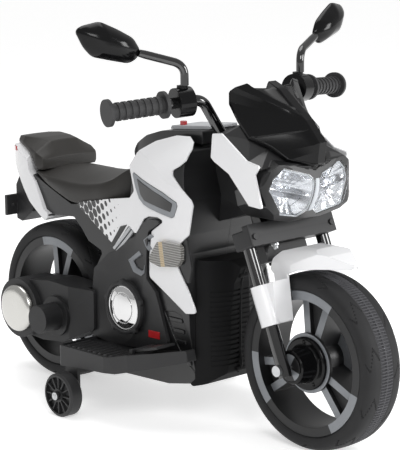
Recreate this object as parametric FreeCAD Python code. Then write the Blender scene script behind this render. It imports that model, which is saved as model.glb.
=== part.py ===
import FreeCAD, Part
import math
import os

V = FreeCAD.Vector

# Frame: X forward, Y to the rider's left, Z up, ground at Z = 0, lengths in mm.
# Side outlines are shares of the body length along X, and of the body height along Z,
# counted up and down from the level of the tyres' tops. Half widths are shares of the body half width.

# Body
BODY_LENGTH = 600.0
BODY_HEIGHT = 500.0
BODY_HALF_WIDTH = 110.0
PANEL_WALL = 3.0
SHELL_WALL = 3.0
SEAT_GAP = 0.4
CORNER_RADIUS = 6.0
SMALL_CORNER = 3.0
FAR = 1200.0
plan_shares = (
    (-0.7000, 0.5455), (-0.5333, 0.6727), (-0.4167, 0.7182), (-0.2000, 0.7273), (-0.0750, 0.7636),
    (0.0333, 0.8909), (0.1333, 0.9818), (0.2500, 0.9636), (0.4333, 0.8727))
section_shares = (
    (-0.5400, 0.4545), (-0.4600, 0.5727), (-0.3400, 0.7455), (-0.1800, 0.8182), (0.0000, 0.9273),
    (0.1200, 0.9909), (0.2200, 1.0000), (0.3000, 0.9273), (0.3600, 0.7636), (0.4000, 0.5636),
    (0.4440, 0.3091))
body_shell_shares = (
    (-0.5567, 0.1940), (-0.3533, 0.1080), (-0.1833, 0.1400), (-0.0833, 0.1600), (-0.0667, 0.2680),
    (0.0000, 0.3480), (0.1000, 0.3720), (0.1633, 0.3640), (0.1767, 0.3000), (0.2000, 0.2040),
    (0.1867, 0.0880), (0.1733, 0.0200), (0.1667, -0.4120), (0.1467, -0.4360), (0.0333, -0.4640),
    (-0.1833, -0.4720), (-0.2433, -0.4120), (-0.2600, -0.3400), (-0.2633, -0.2200), (-0.2450,
    -0.1000), (-0.2133, -0.0400), (-0.2767, -0.0120), (-0.3100, 0.0320), (-0.3433, 0.0640),
    (-0.4400, 0.0560), (-0.4767, 0.0700), (-0.4967, 0.1100), (-0.5267, 0.1620))

# Side panels, trims, lamps and frame spars
side_panel_shares = (
    (-0.0767, 0.2840), (-0.0333, 0.3340), (0.0233, 0.3780), (0.0833, 0.4000), (0.1333, 0.4020),
    (0.1633, 0.3880), (0.1767, 0.3680), (0.1767, 0.3320), (0.1600, 0.3140), (0.1367, 0.2980),
    (0.1417, 0.2820), (0.2200, 0.2120), (0.2267, 0.1960), (0.2100, 0.0960), (0.1733, 0.0620),
    (0.1500, -0.0240), (0.1800, -0.0940), (0.2067, -0.1740), (0.1633, -0.1820), (0.0267, -0.0800),
    (0.0300, -0.0040), (0.0433, 0.0800), (0.0833, 0.1080), (0.1083, 0.1260), (0.0767, 0.1340),
    (0.0283, 0.1280), (0.0000, 0.1140), (-0.0433, 0.0580), (-0.0533, 0.0540), (-0.0850, 0.0760),
    (-0.1517, -0.0100), (-0.3217, 0.1140), (-0.3050, 0.1240), (-0.1800, 0.1520), (-0.0783, 0.1720),
    (-0.0533, 0.2000))
tank_trim_shares = (
    (-0.0600, 0.2660), (-0.0083, 0.2480), (0.1050, 0.2220), (0.1650, 0.1980), (0.1683, 0.1860),
    (0.1550, 0.1500), (0.1450, 0.1440), (0.0283, 0.1580), (0.0017, 0.1640), (-0.0233, 0.1800),
    (-0.0417, 0.2120))
side_lamp_shares = (
    (0.0467, -0.0040), (0.0900, 0.0560), (0.1233, 0.0620), (0.1900, 0.0600), (0.1833, 0.0080),
    (0.1633, -0.0180), (0.0900, -0.0300), (0.0517, -0.0200))
side_fin_shares = (
    (0.2033, 0.0880), (0.1867, 0.0640), (0.1967, 0.0560), (0.1900, 0.0040), (0.1667, -0.0240),
    (0.1883, -0.0800), (0.2100, -0.0160))
frame_spar_shares = (
    (-0.0367, 0.0480), (0.0067, 0.1040), (0.0333, 0.1200), (0.0767, 0.1260), (0.0967, 0.1210),
    (0.0733, 0.1040), (0.0333, 0.0780), (0.0217, -0.0040), (0.0183, -0.0860), (0.0500, -0.1280),
    (0.0867, -0.3000), (0.0000, -0.3440), (-0.1750, -0.3560), (-0.2567, -0.3440), (-0.2567,
    -0.2220), (-0.2400, -0.1000), (-0.1700, -0.0320), (-0.1400, -0.0220), (-0.0667, 0.0360))
spar_window_shares = (
    (-0.0750, -0.0420), (-0.0183, -0.0020), (0.0033, -0.0080), (0.0100, -0.0440), (0.0067, -0.0680),
    (-0.0083, -0.0790), (-0.0500, -0.0740))
TRIM_PROUD = 1.2
LAMP_DEPTH = 8.0
SPAR_PROUD = 4.0
FIN_PROUD = 1.0
WINDOW_FLOOR = 2.0

# Engine discs
disc_centre_share = (-0.0800, -0.2060)
DISC_RADIUS = 39.0
DISC_BEZEL = 7.0
DISC_PROUD = 16.0
DISC_LIP = 2.0

# Tank top and dash
tank_cover_shares = (
    (-0.1567, 0.3080), (-0.1133, 0.3480), (-0.0567, 0.3840), (0.0067, 0.4060), (0.1667, 0.4220),
    (0.1667, 0.3760), (0.1000, 0.3810), (0.0000, 0.3570), (-0.0733, 0.2770), (-0.1033, 0.2760))
tank_plan_shares = (
    (-0.1567, 0.2727), (-0.1000, 0.4364), (0.0000, 0.4909), (0.1700, 0.4545))
dash_shares = ((0.0033, 0.4068), (0.1633, 0.4228), (0.1633, 0.4340), (0.0100, 0.4200))
DASH_HALF_WIDTH = 32.0
button_share = (0.0367, 0.4094)
BUTTON_SIDE = 20.0
BUTTON_RADIUS = 6.0
BUTTON_TRAVEL = 2.0
BUTTON_HEIGHT = 10.0
BUTTON_CLEARANCE = 0.4
BUTTON_FLOOR = 3.0

# Seats
seat_station_shares = (-0.5583, -0.5000, -0.4167, -0.3433, -0.2667, -0.1833, -0.1233, -0.0933)
seat_low_shares = (0.1940, 0.1680, 0.1300, 0.1040, 0.1200, 0.1420, 0.1600, 0.1680)
seat_ridge_shares = (0.1980, 0.1920, 0.1840, 0.1800, 0.1860, 0.2120, 0.2600, 0.2680)
seat_crown_shares = (0.2080, 0.2160, 0.2200, 0.2200, 0.2260, 0.2480, 0.2740, 0.2748)
seat_half_shares = (0.5455, 0.6545, 0.7091, 0.7182, 0.7182, 0.6727, 0.4545, 0.2364)
SEAT_TUCK = 5.0
pillion_station_shares = (-0.7067, -0.6800, -0.6417, -0.5833, -0.5417, -0.5100)
pillion_low_shares = (0.2740, 0.2720, 0.2640, 0.2420, 0.2170, 0.2200)
pillion_ridge_shares = (0.2900, 0.2940, 0.2900, 0.2780, 0.2640, 0.2460)
pillion_crown_shares = (0.2960, 0.3060, 0.3120, 0.3100, 0.3000, 0.2520)
pillion_half_shares = (0.2182, 0.3455, 0.4364, 0.5455, 0.6091, 0.5818)

# Tail
tail_cowl_shares = (
    (-0.7350, 0.2460), (-0.7333, 0.2240), (-0.6500, 0.1660), (-0.5667, 0.0860), (-0.4733, 0.0300),
    (-0.4433, 0.0530), (-0.4783, 0.0710), (-0.4983, 0.1110), (-0.5283, 0.1630), (-0.5667, 0.1980),
    (-0.5717, 0.2280), (-0.5833, 0.2560), (-0.6533, 0.2800), (-0.7000, 0.2760), (-0.7100, 0.2480))
tail_front_shares = (
    (0.0000, 0.2840), (0.3455, 0.2840), (0.5091, 0.2540), (0.6364, 0.2400), (0.8182, 0.2120),
    (0.8182, -0.0400), (0.0000, -0.0400))
tail_plan_shares = (
    (-0.7500, 0.1273), (-0.7067, 0.3273), (-0.6167, 0.5636), (-0.5083, 0.7091), (-0.4583, 0.7455))
TAIL_WALL = 3.0
tail_port_shares = (
    (-0.5500, 0.1040), (-0.4750, 0.1040), (-0.4750, 0.1480), (-0.5500, 0.1480))
TAIL_PORT_HALF = 40.0
tail_lamp_shares = (
    (-0.7433, 0.2280), (-0.7417, 0.2660), (-0.7167, 0.2720), (-0.7133, 0.2520), (-0.7300, 0.2320))
TAIL_LAMP_HALF = 16.0
plate_holder_shares = (
    (-0.7000, 0.1840), (-0.7367, 0.1120), (-0.7367, -0.0160), (-0.7100, -0.0240), (-0.6600, 0.0200),
    (-0.6033, 0.1240))
PLATE_ARM_HALF = 22.0
plate_shares = (
    (-0.7450, 0.0760), (-0.7450, 0.0000), (-0.7333, 0.0000), (-0.7333, 0.0760))
PLATE_HALF = 46.0
PLATE_HOLE_SIDE = 32.0
PLATE_HOLE_RADIUS = 2.5
plate_hole_share = 0.0380

# Radiator block in front of the body
radiator_shares = (
    (0.1533, 0.0000), (0.2233, -0.0100), (0.2467, -0.0340), (0.2317, -0.0880), (0.2267, -0.1800),
    (0.2250, -0.3200), (0.2217, -0.3960), (0.1933, -0.4280), (0.1533, -0.4400))
radiator_plan_shares = (
    (0.1333, 0.6909), (0.1667, 0.6636), (0.1883, 0.5818), (0.2067, 0.4364), (0.2200, 0.2727),
    (0.2317, 0.1545), (0.2533, 0.0727))
RADIATOR_WALL = 4.0
RIB_HALF = 54.0
SEAM_HALF = 3.0
RIB_COUNT = 16
RIB_SLOT = 3.5
RIB_DEPTH = 2.0
rib_low_share = -0.3680
rib_high_share = -0.1000
radiator_face_share = 0.1733
slat_shares = (
    (0.0667, -0.1920), (0.1100, -0.1860), (0.1383, -0.1940), (0.2033, -0.3640), (0.1683, -0.4000),
    (0.1200, -0.3200))

# Wheels
WHEEL_RADIUS = 145.0
TYRE_WIDTH = 80.0
TYRE_DEPTH = 33.0
RIM_FLANGE_HEIGHT = 7.0
WHEEL_ROOM = 8.0
RIM_BARREL_WALL = 8.0
RIM_INSET = 3.0
RIM_FLANGE = 4.0
SPOKE_PAIRS = 3
SPOKE_SPREAD = 13.0
SPOKE_WIDTH = 13.0
SPOKE_INSET = 13.0
SPOKE_PHASE = 82.0
HUB_RADIUS = 30.0
HUB_INSET = 5.0
HUB_RING_RADIUS = 49.0
HUB_RING_INSET = 7.0
HUB_RING_WALL = 6.0
AXLE_RADIUS = 5.0
RUNNING_CLEARANCE = 0.05
rear_axle_share = -0.5317
steer_low_share = (0.3778, 0.0000)
steer_high_share = (0.2541, 0.3600)
TYRE_SHOULDER = 0.86
TYRE_CROWN = 0.55
TYRE_WALL = 7.0

# Steering
FORK_OFFSET = 30.0
FORK_CLEARANCE = 33.0
FORK_RADIUS = 11.0
FORK_WALL = 2.0
FORK_TOE = 13.0
clamp_low_share = 0.0542
CLAMP_HEIGHT = 30.0
CLAMP_BACK = 18.0
CLAMP_CHEEK = 16.0
CLAMP_WAIST = 50.0
CLAMP_FRONT = 54.0
FASCIA_DEPTH = 15.0
FASCIA_RISE = 6.0
CLAMP_OVERHANG = 14.0
BRACE_HALF = 48.0
BRACE_DROP = 26.0
BRACE_BACK = 4.0
BRACE_FRONT = 26.0
STEM_RADIUS = 10.0
head_low_share = 0.1190
head_high_share = 0.3335
HEAD_RADIUS = 24.0
BUSH_RADIUS = 14.0
BUSH_LENGTH = 18.0
BUSH_FLANGE = 2.0
BUSH_FLANGE_RADIUS = 18.0
HEAD_WEB_HALF = 28.0
head_web_shares = (
    (0.1500, 0.3280), (0.2633, 0.3240), (0.3167, 0.1640), (0.1667, 0.1100), (0.1667, 0.2040),
    (0.1500, 0.3000))
HUB_END_GAP = 2.0
AXLE_HEAD_RADIUS = 9.0
AXLE_HEAD = 6.0
SCREW_RADIUS = 5.0
SCREW_HEAD = 3.0
SCREW_SHANK_RADIUS = 2.0
SCREW_SHANK = 10.0
SCREW_OVERHANG = 4.0

# Front fender
fender_shares = (
    (-0.4337, 1.0138), (-0.3992, 1.1448), (-0.3095, 1.2345), (-0.1440, 1.2828), (0.0767, 1.2828),
    (0.2974, 1.2414), (0.5456, 1.1448), (0.5180, 1.1034), (0.1801, 1.0897), (-0.0475, 1.0552),
    (-0.1716, 1.0000), (-0.3233, 0.9448))
fender_leg_shares = (
    (-0.3923, 1.0966), (-0.1854, 1.0966), (-0.1026, 0.4897), (-0.2958, 0.4345))
fender_plan_shares = (
    (-0.8199, 1.0000), (-0.1302, 1.0000), (0.0767, 0.8800), (0.2560, 0.6200), (0.4077, 0.3400),
    (0.4974, 0.1600), (0.5525, 0.0600))
fender_section_shares = (
    (1.0000, 0.7241), (1.0000, 1.1034), (0.9200, 1.1862), (0.7200, 1.2552), (0.3200, 1.2828),
    (0.0000, 1.2897))
FENDER_CLEARANCE = 10.0
FENDER_WALL = 4.0
COLLAR_RADIUS = 16.0
COLLAR_RISE = 71.5
COLLAR_LENGTH = 66.0

# Handlebar, grips and mirrors
BAR_RADIUS = 9.0
BAR_WALL = 2.0
BAR_BEND = 26.0
bar_clamp_share = 0.3445
BAR_CLAMP_HEIGHT = 38.0
BAR_CLAMP_HALF = 26.0
BAR_CLAMP_DEPTH = 30.0
BAR_SEAT_RISE = 21.0
BAR_FLAT = 38.0
bar_knee_share = (0.2517, 0.5440)
BAR_KNEE_SIDE = 98.0
bar_end_share = (0.1783, 0.5220)
BAR_END_SIDE = 262.0
GRIP_LENGTH = 104.0
GRIP_RADIUS = 15.0
GRIP_FLANGE_RADIUS = 22.0
GRIP_FLANGE = 6.0
GRIP_END_CAP = 3.0
GRIP_RIBS = 8
GRIP_RIB_DEPTH = 1.6
MIRROR_SIDE = 132.0
MIRROR_CLAMP_RADIUS = 24.0
MIRROR_CLAMP_LENGTH = 28.0
MIRROR_BOSS_RADIUS = 9.0
MIRROR_BOSS_HEIGHT = 27.0
MIRROR_STEM_RADIUS = 5.5
MIRROR_STEM_SOCKET = 6.0
mirror_rise_share = 0.6480
MIRROR_OUT = 60.0
MIRROR_BACK = 34.0
MIRROR_UP = 22.0
MIRROR_BEND = 14.0
MIRROR_LENGTH = 118.0
MIRROR_TALL = 74.0
MIRROR_DEPTH = 24.0
MIRROR_TURN = 16.0
MIRROR_GLASS = 2.0
MIRROR_RIM = 4.0
mirror_head_shares = ((0.00, 0.14), (0.03, 0.39), (0.60, 1.00), (1.00, 0.88), (0.56, 0.14), (0.06, 0.04))
mirror_back_shares = ((0.20, 0.27), (0.20, 0.42), (0.60, 0.78), (0.84, 0.74), (0.54, 0.34), (0.24, 0.20))

# Headlamp, screen and cowl
nose_shares = (
    (0.3867, 0.1640), (0.4717, 0.1620), (0.4967, 0.2000), (0.5167, 0.2480), (0.5217, 0.3000),
    (0.5033, 0.3560), (0.4467, 0.3720), (0.3800, 0.3680), (0.3283, 0.3440))
nose_plan_shares = (
    (0.3000, 0.7818), (0.4000, 0.8545), (0.4533, 0.9000), (0.4867, 0.8727), (0.5033, 0.5636),
    (0.5183, 0.2727), (0.5300, 0.0364))
nose_front_shares = (
    (0.0000, 0.3240), (0.1273, 0.3420), (0.6000, 0.3680), (0.8182, 0.3380), (0.9091, 0.2840),
    (0.8636, 0.2260), (0.6909, 0.1800), (0.2182, 0.1580), (0.0000, 0.1640))
NOSE_WALL = 3.0
LENS_WALL = 2.5
LENS_GAP = 0.5
lens_shares = (
    (0.0364, 0.2960), (0.1182, 0.3140), (0.5818, 0.3440), (0.7636, 0.3160), (0.8364, 0.2800),
    (0.6364, 0.1960), (0.2000, 0.1760), (0.0364, 0.1980))
LENS_BACK = 16.0
reflector_back_share = 0.4100
REFLECTOR_WALL = 2.0
nose_port_shares = ((0.3167, 0.1880), (0.4167, 0.1880), (0.4167, 0.3160), (0.3167, 0.3160))
NOSE_PORT_HALF = 46.0
lamp_lug_shares = ((0.3933, 0.1680), (0.3600, 0.1680))
LAMP_LUG_FOOT = 4.0
LAMP_LUG_SIDE = 54.0
LAMP_LUG_WIDTH = 14.0
cover_shares = (
    (0.3033, 0.8909, 0.4360), (0.3333, 0.8909, 0.4380), (0.4267, 0.8909, 0.3640), (0.4717, 0.8727,
    0.3460), (0.4950, 0.6000, 0.3540), (0.3600, 0.6455, 0.4700), (0.3967, 0.6909, 0.4260), (0.4350,
    0.5182, 0.3980), (0.4767, 0.3636, 0.3580), (0.5233, 0.0818, 0.3420))
cover_facets = ((0, 1, 5), (1, 6, 5), (1, 2, 6), (2, 7, 6), (2, 3, 7), (3, 8, 7), (3, 4, 8), (4, 9, 8))
COVER_WALL = 4.0
cowl_wing_shares = (
    (0.2933, 0.3620), (0.3000, 0.4400), (0.3333, 0.4440), (0.4267, 0.3680), (0.4767, 0.3560),
    (0.4583, 0.3260), (0.4850, 0.2220), (0.4367, 0.2260), (0.3617, 0.3180), (0.3067, 0.3500))
COWL_WING_WALL = 4.0
screen_shares = (
    (0.3533, 0.0727, 0.5960), (0.3900, 0.0727, 0.5780), (0.4917, 0.0727, 0.4840), (0.5417, 0.0727,
    0.4180), (0.5333, 0.0727, 0.3520), (0.3200, 0.6818, 0.5740), (0.3333, 0.6455, 0.5860), (0.3450,
    0.4727, 0.5960), (0.3483, 0.4091, 0.5800), (0.3600, 0.1545, 0.5760), (0.3200, 0.6818, 0.5380),
    (0.3550, 0.7000, 0.4860), (0.4017, 0.7273, 0.4360), (0.4400, 0.5545, 0.4080), (0.4817, 0.4000,
    0.3660), (0.5300, 0.1091, 0.3500))
screen_facets = ((0, 1, 9), (9, 1, 8), (8, 1, 2), (7, 8, 2), (6, 7, 2), (5, 6, 2), (10, 5, 2), (11, 10, 2), (12, 11, 2),
                 (12, 2, 3), (13, 12, 3), (14, 13, 3), (15, 14, 3), (15, 3, 4))
SCREEN_RIDGE = 5
SCREEN_WALL = 5.0
SCREEN_SLOPE = 53.0

# Swing arms, rear hub, motor and gears
ARM_CLEARANCE = 7.0
ARM_DEPTH = 61.0
ARM_WALL = 4.0
ARM_END_RADIUS = 54.0
ARM_END_PROUD = 10.0
swing_arm_shares = (
    (-0.2333, 1.0185), (-0.4000, 1.1296), (-0.5000, 1.0000), (-0.5000, -0.8889), (-0.4367, -0.9444),
    (-0.3417, -0.8333), (-0.2333, -0.2778))
arm_step_share = -0.2717
arm_nose_share = -0.3133
ARM_NOSE_TAPER = 20.0
ARM_BOSS_RADIUS = 11.0
ARM_BOSS_INSET = 26.0
REAR_HUB_RADIUS = 12.5
AXLE_STOP = 2.0
HUB_CAP_RADIUS = 43.0
HUB_CAP_DEPTH = 12.0
HUB_CAP_STEP = 12.0
GEAR_MODULE = 1.5
WHEEL_TEETH = 48
IDLER_SMALL_TEETH = 20
IDLER_BIG_TEETH = 48
PINION_TEETH = 14
BACKLASH = 0.4
PRESSURE_ANGLE = 20.0
FLANK_STEPS = 5
GEAR_WIDTH = 10.0
GEAR_INSET = 11.0
GEAR_STEP = 2.0
IDLER_PIN_RADIUS = 4.0
MOTOR_RADIUS = 20.0
MOTOR_LENGTH = 56.0
MOTOR_INSET = 45.0
MOTOR_SHAFT_RADIUS = 3.0
MOTOR_HOUSING_RADIUS = 25.0
MOTOR_FLANGE_RADIUS = 36.0
MOTOR_FLANGE = 6.0
MOTOR_CAP = 4.0

# Battery and its lead
battery_share = (-0.0667, -0.4576)
BATTERY_LENGTH = 100.0
BATTERY_WIDTH = 70.0
BATTERY_HEIGHT = 96.0
TERMINAL_RADIUS = 4.0
TERMINAL_HEIGHT = 8.0
TERMINAL_SIDE = 22.0
LEAD_RADIUS = 3.0
LEAD_BEND = 20.0
LEAD_SETBACK = 10.0
lead_shares = ((0.0667, 0.1800), (0.0667, 0.3360))
lead_rise_share = 0.0200

# Footrests, pedal and training wheels
footrest_shares = (
    (-0.2467, -0.3460), (-0.0183, -0.3420), (0.0383, -0.3260), (0.1833, -0.3000), (0.1867, -0.3400),
    (0.0067, -0.3960), (-0.0950, -0.4040), (-0.2467, -0.4200))
FOOTREST_HALF = 172.0
footrest_plan_shares = (
    (-0.2467, 0.3488), (-0.2467, 0.9302), (-0.2333, 0.9767), (-0.0333, 1.0000), (0.0500, 0.9419),
    (0.1867, 0.5814), (0.1867, 0.3488))
FOOTREST_RIM = 6.0
FOOTREST_FLOOR = 5.0
TRAINING_RADIUS = 38.0
TRAINING_WIDTH = 26.0
training_axle_share = -0.1867
TRAINING_GAP = 6.0
TRAINING_PIN_RADIUS = 4.0
TRAINING_HUB_RADIUS = 12.0
TRAINING_RECESS = 6.0
BRACKET_THICKNESS = 6.0
BRACKET_HALF = 16.0
BRACKET_INSET = 6.0
BRACKET_SHELF = 40.0
BRACKET_GAP = 2.0
PIN_HEAD_RADIUS = 8.0
PIN_HEAD = 4.0
pedal_hinge_share = (0.0400, -0.3180)
PEDAL_LENGTH = 58.0
PEDAL_INSET = 71.0
PEDAL_WIDTH = 40.0
PEDAL_THICK = 5.0
PEDAL_LIFT = 13.0
PEDAL_BARREL = 4.0
PEDAL_PIN = 1.5
PEDAL_LUG = 6.0
PEDAL_LUG_GAP = 1.0

# Places that follow from the sizes above
REAR_AXLE_X = rear_axle_share * BODY_LENGTH
TYRE_TOP = WHEEL_RADIUS + WHEEL_RADIUS
STEER_RUN = (steer_low_share[0] - steer_high_share[0]) * BODY_LENGTH
STEER_CLIMB = (steer_high_share[1] - steer_low_share[1]) * BODY_HEIGHT
RAKE = math.degrees(math.atan2(STEER_RUN, STEER_CLIMB))
RAKE_SIN = math.sin(math.radians(RAKE))
RAKE_COS = math.cos(math.radians(RAKE))
STEER_LOW_Z = TYRE_TOP + steer_low_share[1] * BODY_HEIGHT
STEER_FOOT_X = steer_low_share[0] * BODY_LENGTH + STEER_LOW_Z * RAKE_SIN / RAKE_COS
AXLE_RISE = (WHEEL_RADIUS - FORK_OFFSET * RAKE_SIN) / RAKE_COS
RIM_SEAT_RADIUS = WHEEL_RADIUS - TYRE_DEPTH
RIM_FLANGE_RADIUS = RIM_SEAT_RADIUS + RIM_FLANGE_HEIGHT
RIM_WIDTH = TYRE_WIDTH - 2 * RIM_INSET
SPOKE_DEPTH = RIM_WIDTH - 2 * SPOKE_INSET
HUB_WIDTH = RIM_WIDTH - 2 * HUB_INSET
HUB_RING_WIDTH = RIM_WIDTH - 2 * HUB_RING_INSET
FORK_HALF = TYRE_WIDTH / 2 + FORK_CLEARANCE + FORK_RADIUS
CLAMP_HALF = FORK_HALF + CLAMP_OVERHANG
SCREW_SIDE = FORK_HALF + SCREW_OVERHANG
FRONT_HUB_REACH = FORK_HALF - FORK_RADIUS - HUB_END_GAP
FENDER_HALF = TYRE_WIDTH / 2 + FENDER_CLEARANCE
COLLAR_LOW = AXLE_RISE + COLLAR_RISE
ARM_INNER = TYRE_WIDTH / 2 + ARM_CLEARANCE
ARM_OUTER = ARM_INNER + ARM_DEPTH
ARM_BOSS_INNER = ARM_INNER + ARM_BOSS_INSET
REAR_HUB_REACH = ARM_BOSS_INNER - HUB_END_GAP
GEAR_INNER = ARM_INNER + GEAR_INSET
MOTOR_FACE = ARM_INNER + MOTOR_INSET
BRACKET_SIDE = FOOTREST_HALF - BRACKET_INSET
TRAINING_SIDE = BRACKET_SIDE + TRAINING_GAP + TRAINING_WIDTH / 2
PEDAL_INNER = FOOTREST_HALF - PEDAL_INSET
FRONT_AXLE_X = STEER_FOOT_X + FORK_OFFSET * RAKE_COS - AXLE_RISE * RAKE_SIN
WHEEL_GEAR_PITCH = GEAR_MODULE * WHEEL_TEETH / 2
IDLER_REACH = GEAR_MODULE * (WHEEL_TEETH + IDLER_SMALL_TEETH) / 2
MOTOR_REACH = IDLER_REACH + GEAR_MODULE * (IDLER_BIG_TEETH + PINION_TEETH) / 2
IDLER_X = REAR_AXLE_X + IDLER_REACH
MOTOR_X = REAR_AXLE_X + MOTOR_REACH
IDLER_BIG_INNER = GEAR_INNER + GEAR_WIDTH + GEAR_STEP
Y_AXIS = V(0, 1, 0)
Z_AXIS = V(0, 0, 1)


def level(share):
    return TYRE_TOP + share * BODY_HEIGHT


CLAMP_LOW = level(clamp_low_share) / RAKE_COS
HEAD_LOW = level(head_low_share) / RAKE_COS
HEAD_LENGTH = level(head_high_share) / RAKE_COS - HEAD_LOW
BAR_CLAMP_LOW = level(bar_clamp_share) / RAKE_COS
BAR_SEAT = BAR_CLAMP_LOW + BAR_SEAT_RISE


def at(share):
    return share[0] * BODY_LENGTH, level(share[1])


def side(shares):
    return [at(share) for share in shares]


def widths(shares, grow):
    return [(share[0] * BODY_LENGTH, share[1] * BODY_HALF_WIDTH + grow) for share in shares]


def rounded_wire(points, radius):
    """Closed wire through the points with an arc at each corner, as large as its two edges allow."""
    edges = []
    starts = []
    ends = []
    mids = []
    for i, point in enumerate(points):
        back = points[i - 1] - point
        ahead = points[(i + 1) % len(points)] - point
        reach = min(back.Length, ahead.Length) * 0.4
        b = V(back).normalize()
        a = V(ahead).normalize()
        turn = b.getAngle(a)
        half = turn / 2
        run = min(radius / math.tan(half), reach)
        size = run * math.tan(half)
        bisector = (a + b)
        if bisector.Length < 1e-3:
            starts.append(point)
            ends.append(point)
            mids.append(None)
            continue
        bisector.normalize()
        starts.append(point + b * run)
        ends.append(point + a * run)
        mids.append(point + bisector * (size / math.sin(half) - size))
    for i in range(len(points)):
        if mids[i] is not None:
            edges.append(Part.Arc(starts[i], mids[i], ends[i]).toShape())
        edges.append(Part.LineSegment(ends[i], starts[(i + 1) % len(points)]).toShape())
    return Part.Wire(edges)


def side_face(points, radius, y):
    return Part.Face(rounded_wire([V(x, y, z) for x, z in points], radius))


def side_prism(points, y_from, y_to, radius):
    return side_face(points, radius, y_from).extrude(V(0, y_to - y_from, 0))


def inset_prism(points, y_from, y_to, radius, inset):
    face = side_face(points, radius, y_from).makeOffset2D(-inset)
    return face.extrude(V(0, y_to - y_from, 0))


def curve(points):
    spline = Part.BSplineCurve()
    spline.interpolate(points)
    return spline.toShape()


def plan_prism(points):
    """Upright prism on the right-hand side, from the middle plane out to a curve over X."""
    outer = curve([V(x, -y, 0) for x, y in points])
    first = V(points[0][0], 0, 0)
    last = V(points[-1][0], 0, 0)
    lines = [Part.LineSegment(first, outer.Vertexes[0].Point).toShape(), outer,
             Part.LineSegment(outer.Vertexes[-1].Point, last).toShape(),
             Part.LineSegment(last, first).toShape()]
    return Part.Face(Part.Wire(lines)).extrude(V(0, 0, FAR))


def section_prism(points):
    """Lengthwise prism on the right-hand side, from the middle plane out to a curve over Z."""
    outer = curve([V(-FAR, -y, z) for z, y in points])
    first = V(-FAR, 0, points[0][0])
    last = V(-FAR, 0, points[-1][0])
    lines = [Part.LineSegment(first, outer.Vertexes[0].Point).toShape(), outer,
             Part.LineSegment(outer.Vertexes[-1].Point, last).toShape(),
             Part.LineSegment(last, first).toShape()]
    return Part.Face(Part.Wire(lines)).extrude(V(FAR + FAR, 0, 0))


def crown(grow):
    """Right-hand half of the body's bulged form, moved outward by grow."""
    plan = plan_prism(widths(plan_shares, grow))
    heights = [(level(z), y * BODY_HALF_WIDTH + grow) for z, y in section_shares]
    return plan.common(section_prism(heights))


def wheel_room(x):
    """Space that a wheel needs, kept free by the pieces around it."""
    return rod_y(x, WHEEL_RADIUS, -FAR, FAR, WHEEL_RADIUS + WHEEL_ROOM)


def mirrored(shape):
    return shape.mirror(V(0, 0, 0), Y_AXIS)


def both(shape):
    return Part.makeCompound([shape, mirrored(shape)])


def one_solid(shape):
    solids = sorted(shape.Solids, key=lambda solid: -solid.Volume)
    return solids[0]


def rod(start, end, radius):
    run = end - start
    return Part.makeCylinder(radius, run.Length, start, run)


def rod_y(x, z, y_from, y_to, radius):
    return rod(V(x, y_from, z), V(x, y_to, z), radius)


def box(x_from, x_to, y_from, y_to, z_from, z_to):
    return Part.makeBox(x_to - x_from, y_to - y_from, z_to - z_from, V(x_from, y_from, z_from))


def steer_point(forward, y, rise):
    return V(STEER_FOOT_X + forward * RAKE_COS - rise * RAKE_SIN, y,
             forward * RAKE_SIN + rise * RAKE_COS)


def steer_box(back, front, half, low, high):
    block = Part.makeBox(front - back, half + half, high - low, V(back, -half, low))
    block.rotate(V(0, 0, 0), Y_AXIS, -RAKE)
    return block.translated(V(STEER_FOOT_X, 0, 0))


def steer_rod(forward, y, low, high, radius):
    return rod(steer_point(forward, y, low), steer_point(forward, y, high), radius)


def bent_rod(points, bend, radius):
    """Round bar along a line of points with an arc at each corner."""
    edges = []
    last = points[0]
    for i in range(1, len(points) - 1):
        b = (points[i - 1] - points[i]).normalize()
        a = (points[i + 1] - points[i]).normalize()
        half = b.getAngle(a) / 2
        room = min((points[i - 1] - points[i]).Length, (points[i + 1] - points[i]).Length) * 0.45
        run = min(bend / math.tan(half), room)
        size = run * math.tan(half)
        start = points[i] + b * run
        end = points[i] + a * run
        mid = points[i] + (a + b).normalize() * (size / math.sin(half) - size)
        edges.append(Part.LineSegment(last, start).toShape())
        edges.append(Part.Arc(start, mid, end).toShape())
        last = end
    edges.append(Part.LineSegment(last, points[-1]).toShape())
    path = Part.Wire(edges)
    ring = Part.Wire([Part.Circle(points[0], points[1] - points[0], radius).toShape()])
    return path.makePipeShell([ring], True, False)


def turned(points, x, z):
    """Solid of revolution about the wheel axis from (radius, y) points."""
    wire = Part.makePolygon([V(r, y, 0) for r, y in points + points[:1]])
    solid = Part.Face(wire).revolve(V(0, 0, 0), Y_AXIS, 360)
    return solid.translated(V(x, 0, z))


def body_shell():
    points = side(body_shell_shares)
    outer = side_prism(points, -FAR, 0, CORNER_RADIUS).common(crown(-PANEL_WALL - SEAT_GAP))
    inner = inset_prism(points, -FAR, 0, CORNER_RADIUS, SHELL_WALL)
    inner = inner.common(crown(-PANEL_WALL - SEAT_GAP - SHELL_WALL))
    room = wheel_room(REAR_AXLE_X)
    shell = outer.cut(room).cut(inner)
    slats = side_prism(side(slat_shares), -FAR, 0, SMALL_CORNER)
    return one_solid(shell.cut(slats.cut(crown(-PANEL_WALL - SEAT_GAP - SHELL_WALL / 2))))


def skin(shares, radius, low, high):
    """Piece of the body's bulged skin inside a side outline, between two offsets."""
    return side_prism(side(shares), -FAR, 0, radius).common(crown(high)).cut(crown(low))


def side_panel():
    panel = skin(side_panel_shares, CORNER_RADIUS, -PANEL_WALL, 0)
    seat = side_face(side(tank_trim_shares), SMALL_CORNER, -FAR).makeOffset2D(SEAT_GAP)
    return one_solid(panel.cut(seat.extrude(V(0, FAR, 0))))


def tank_trim():
    return one_solid(skin(tank_trim_shares, SMALL_CORNER, -PANEL_WALL, TRIM_PROUD))


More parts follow.
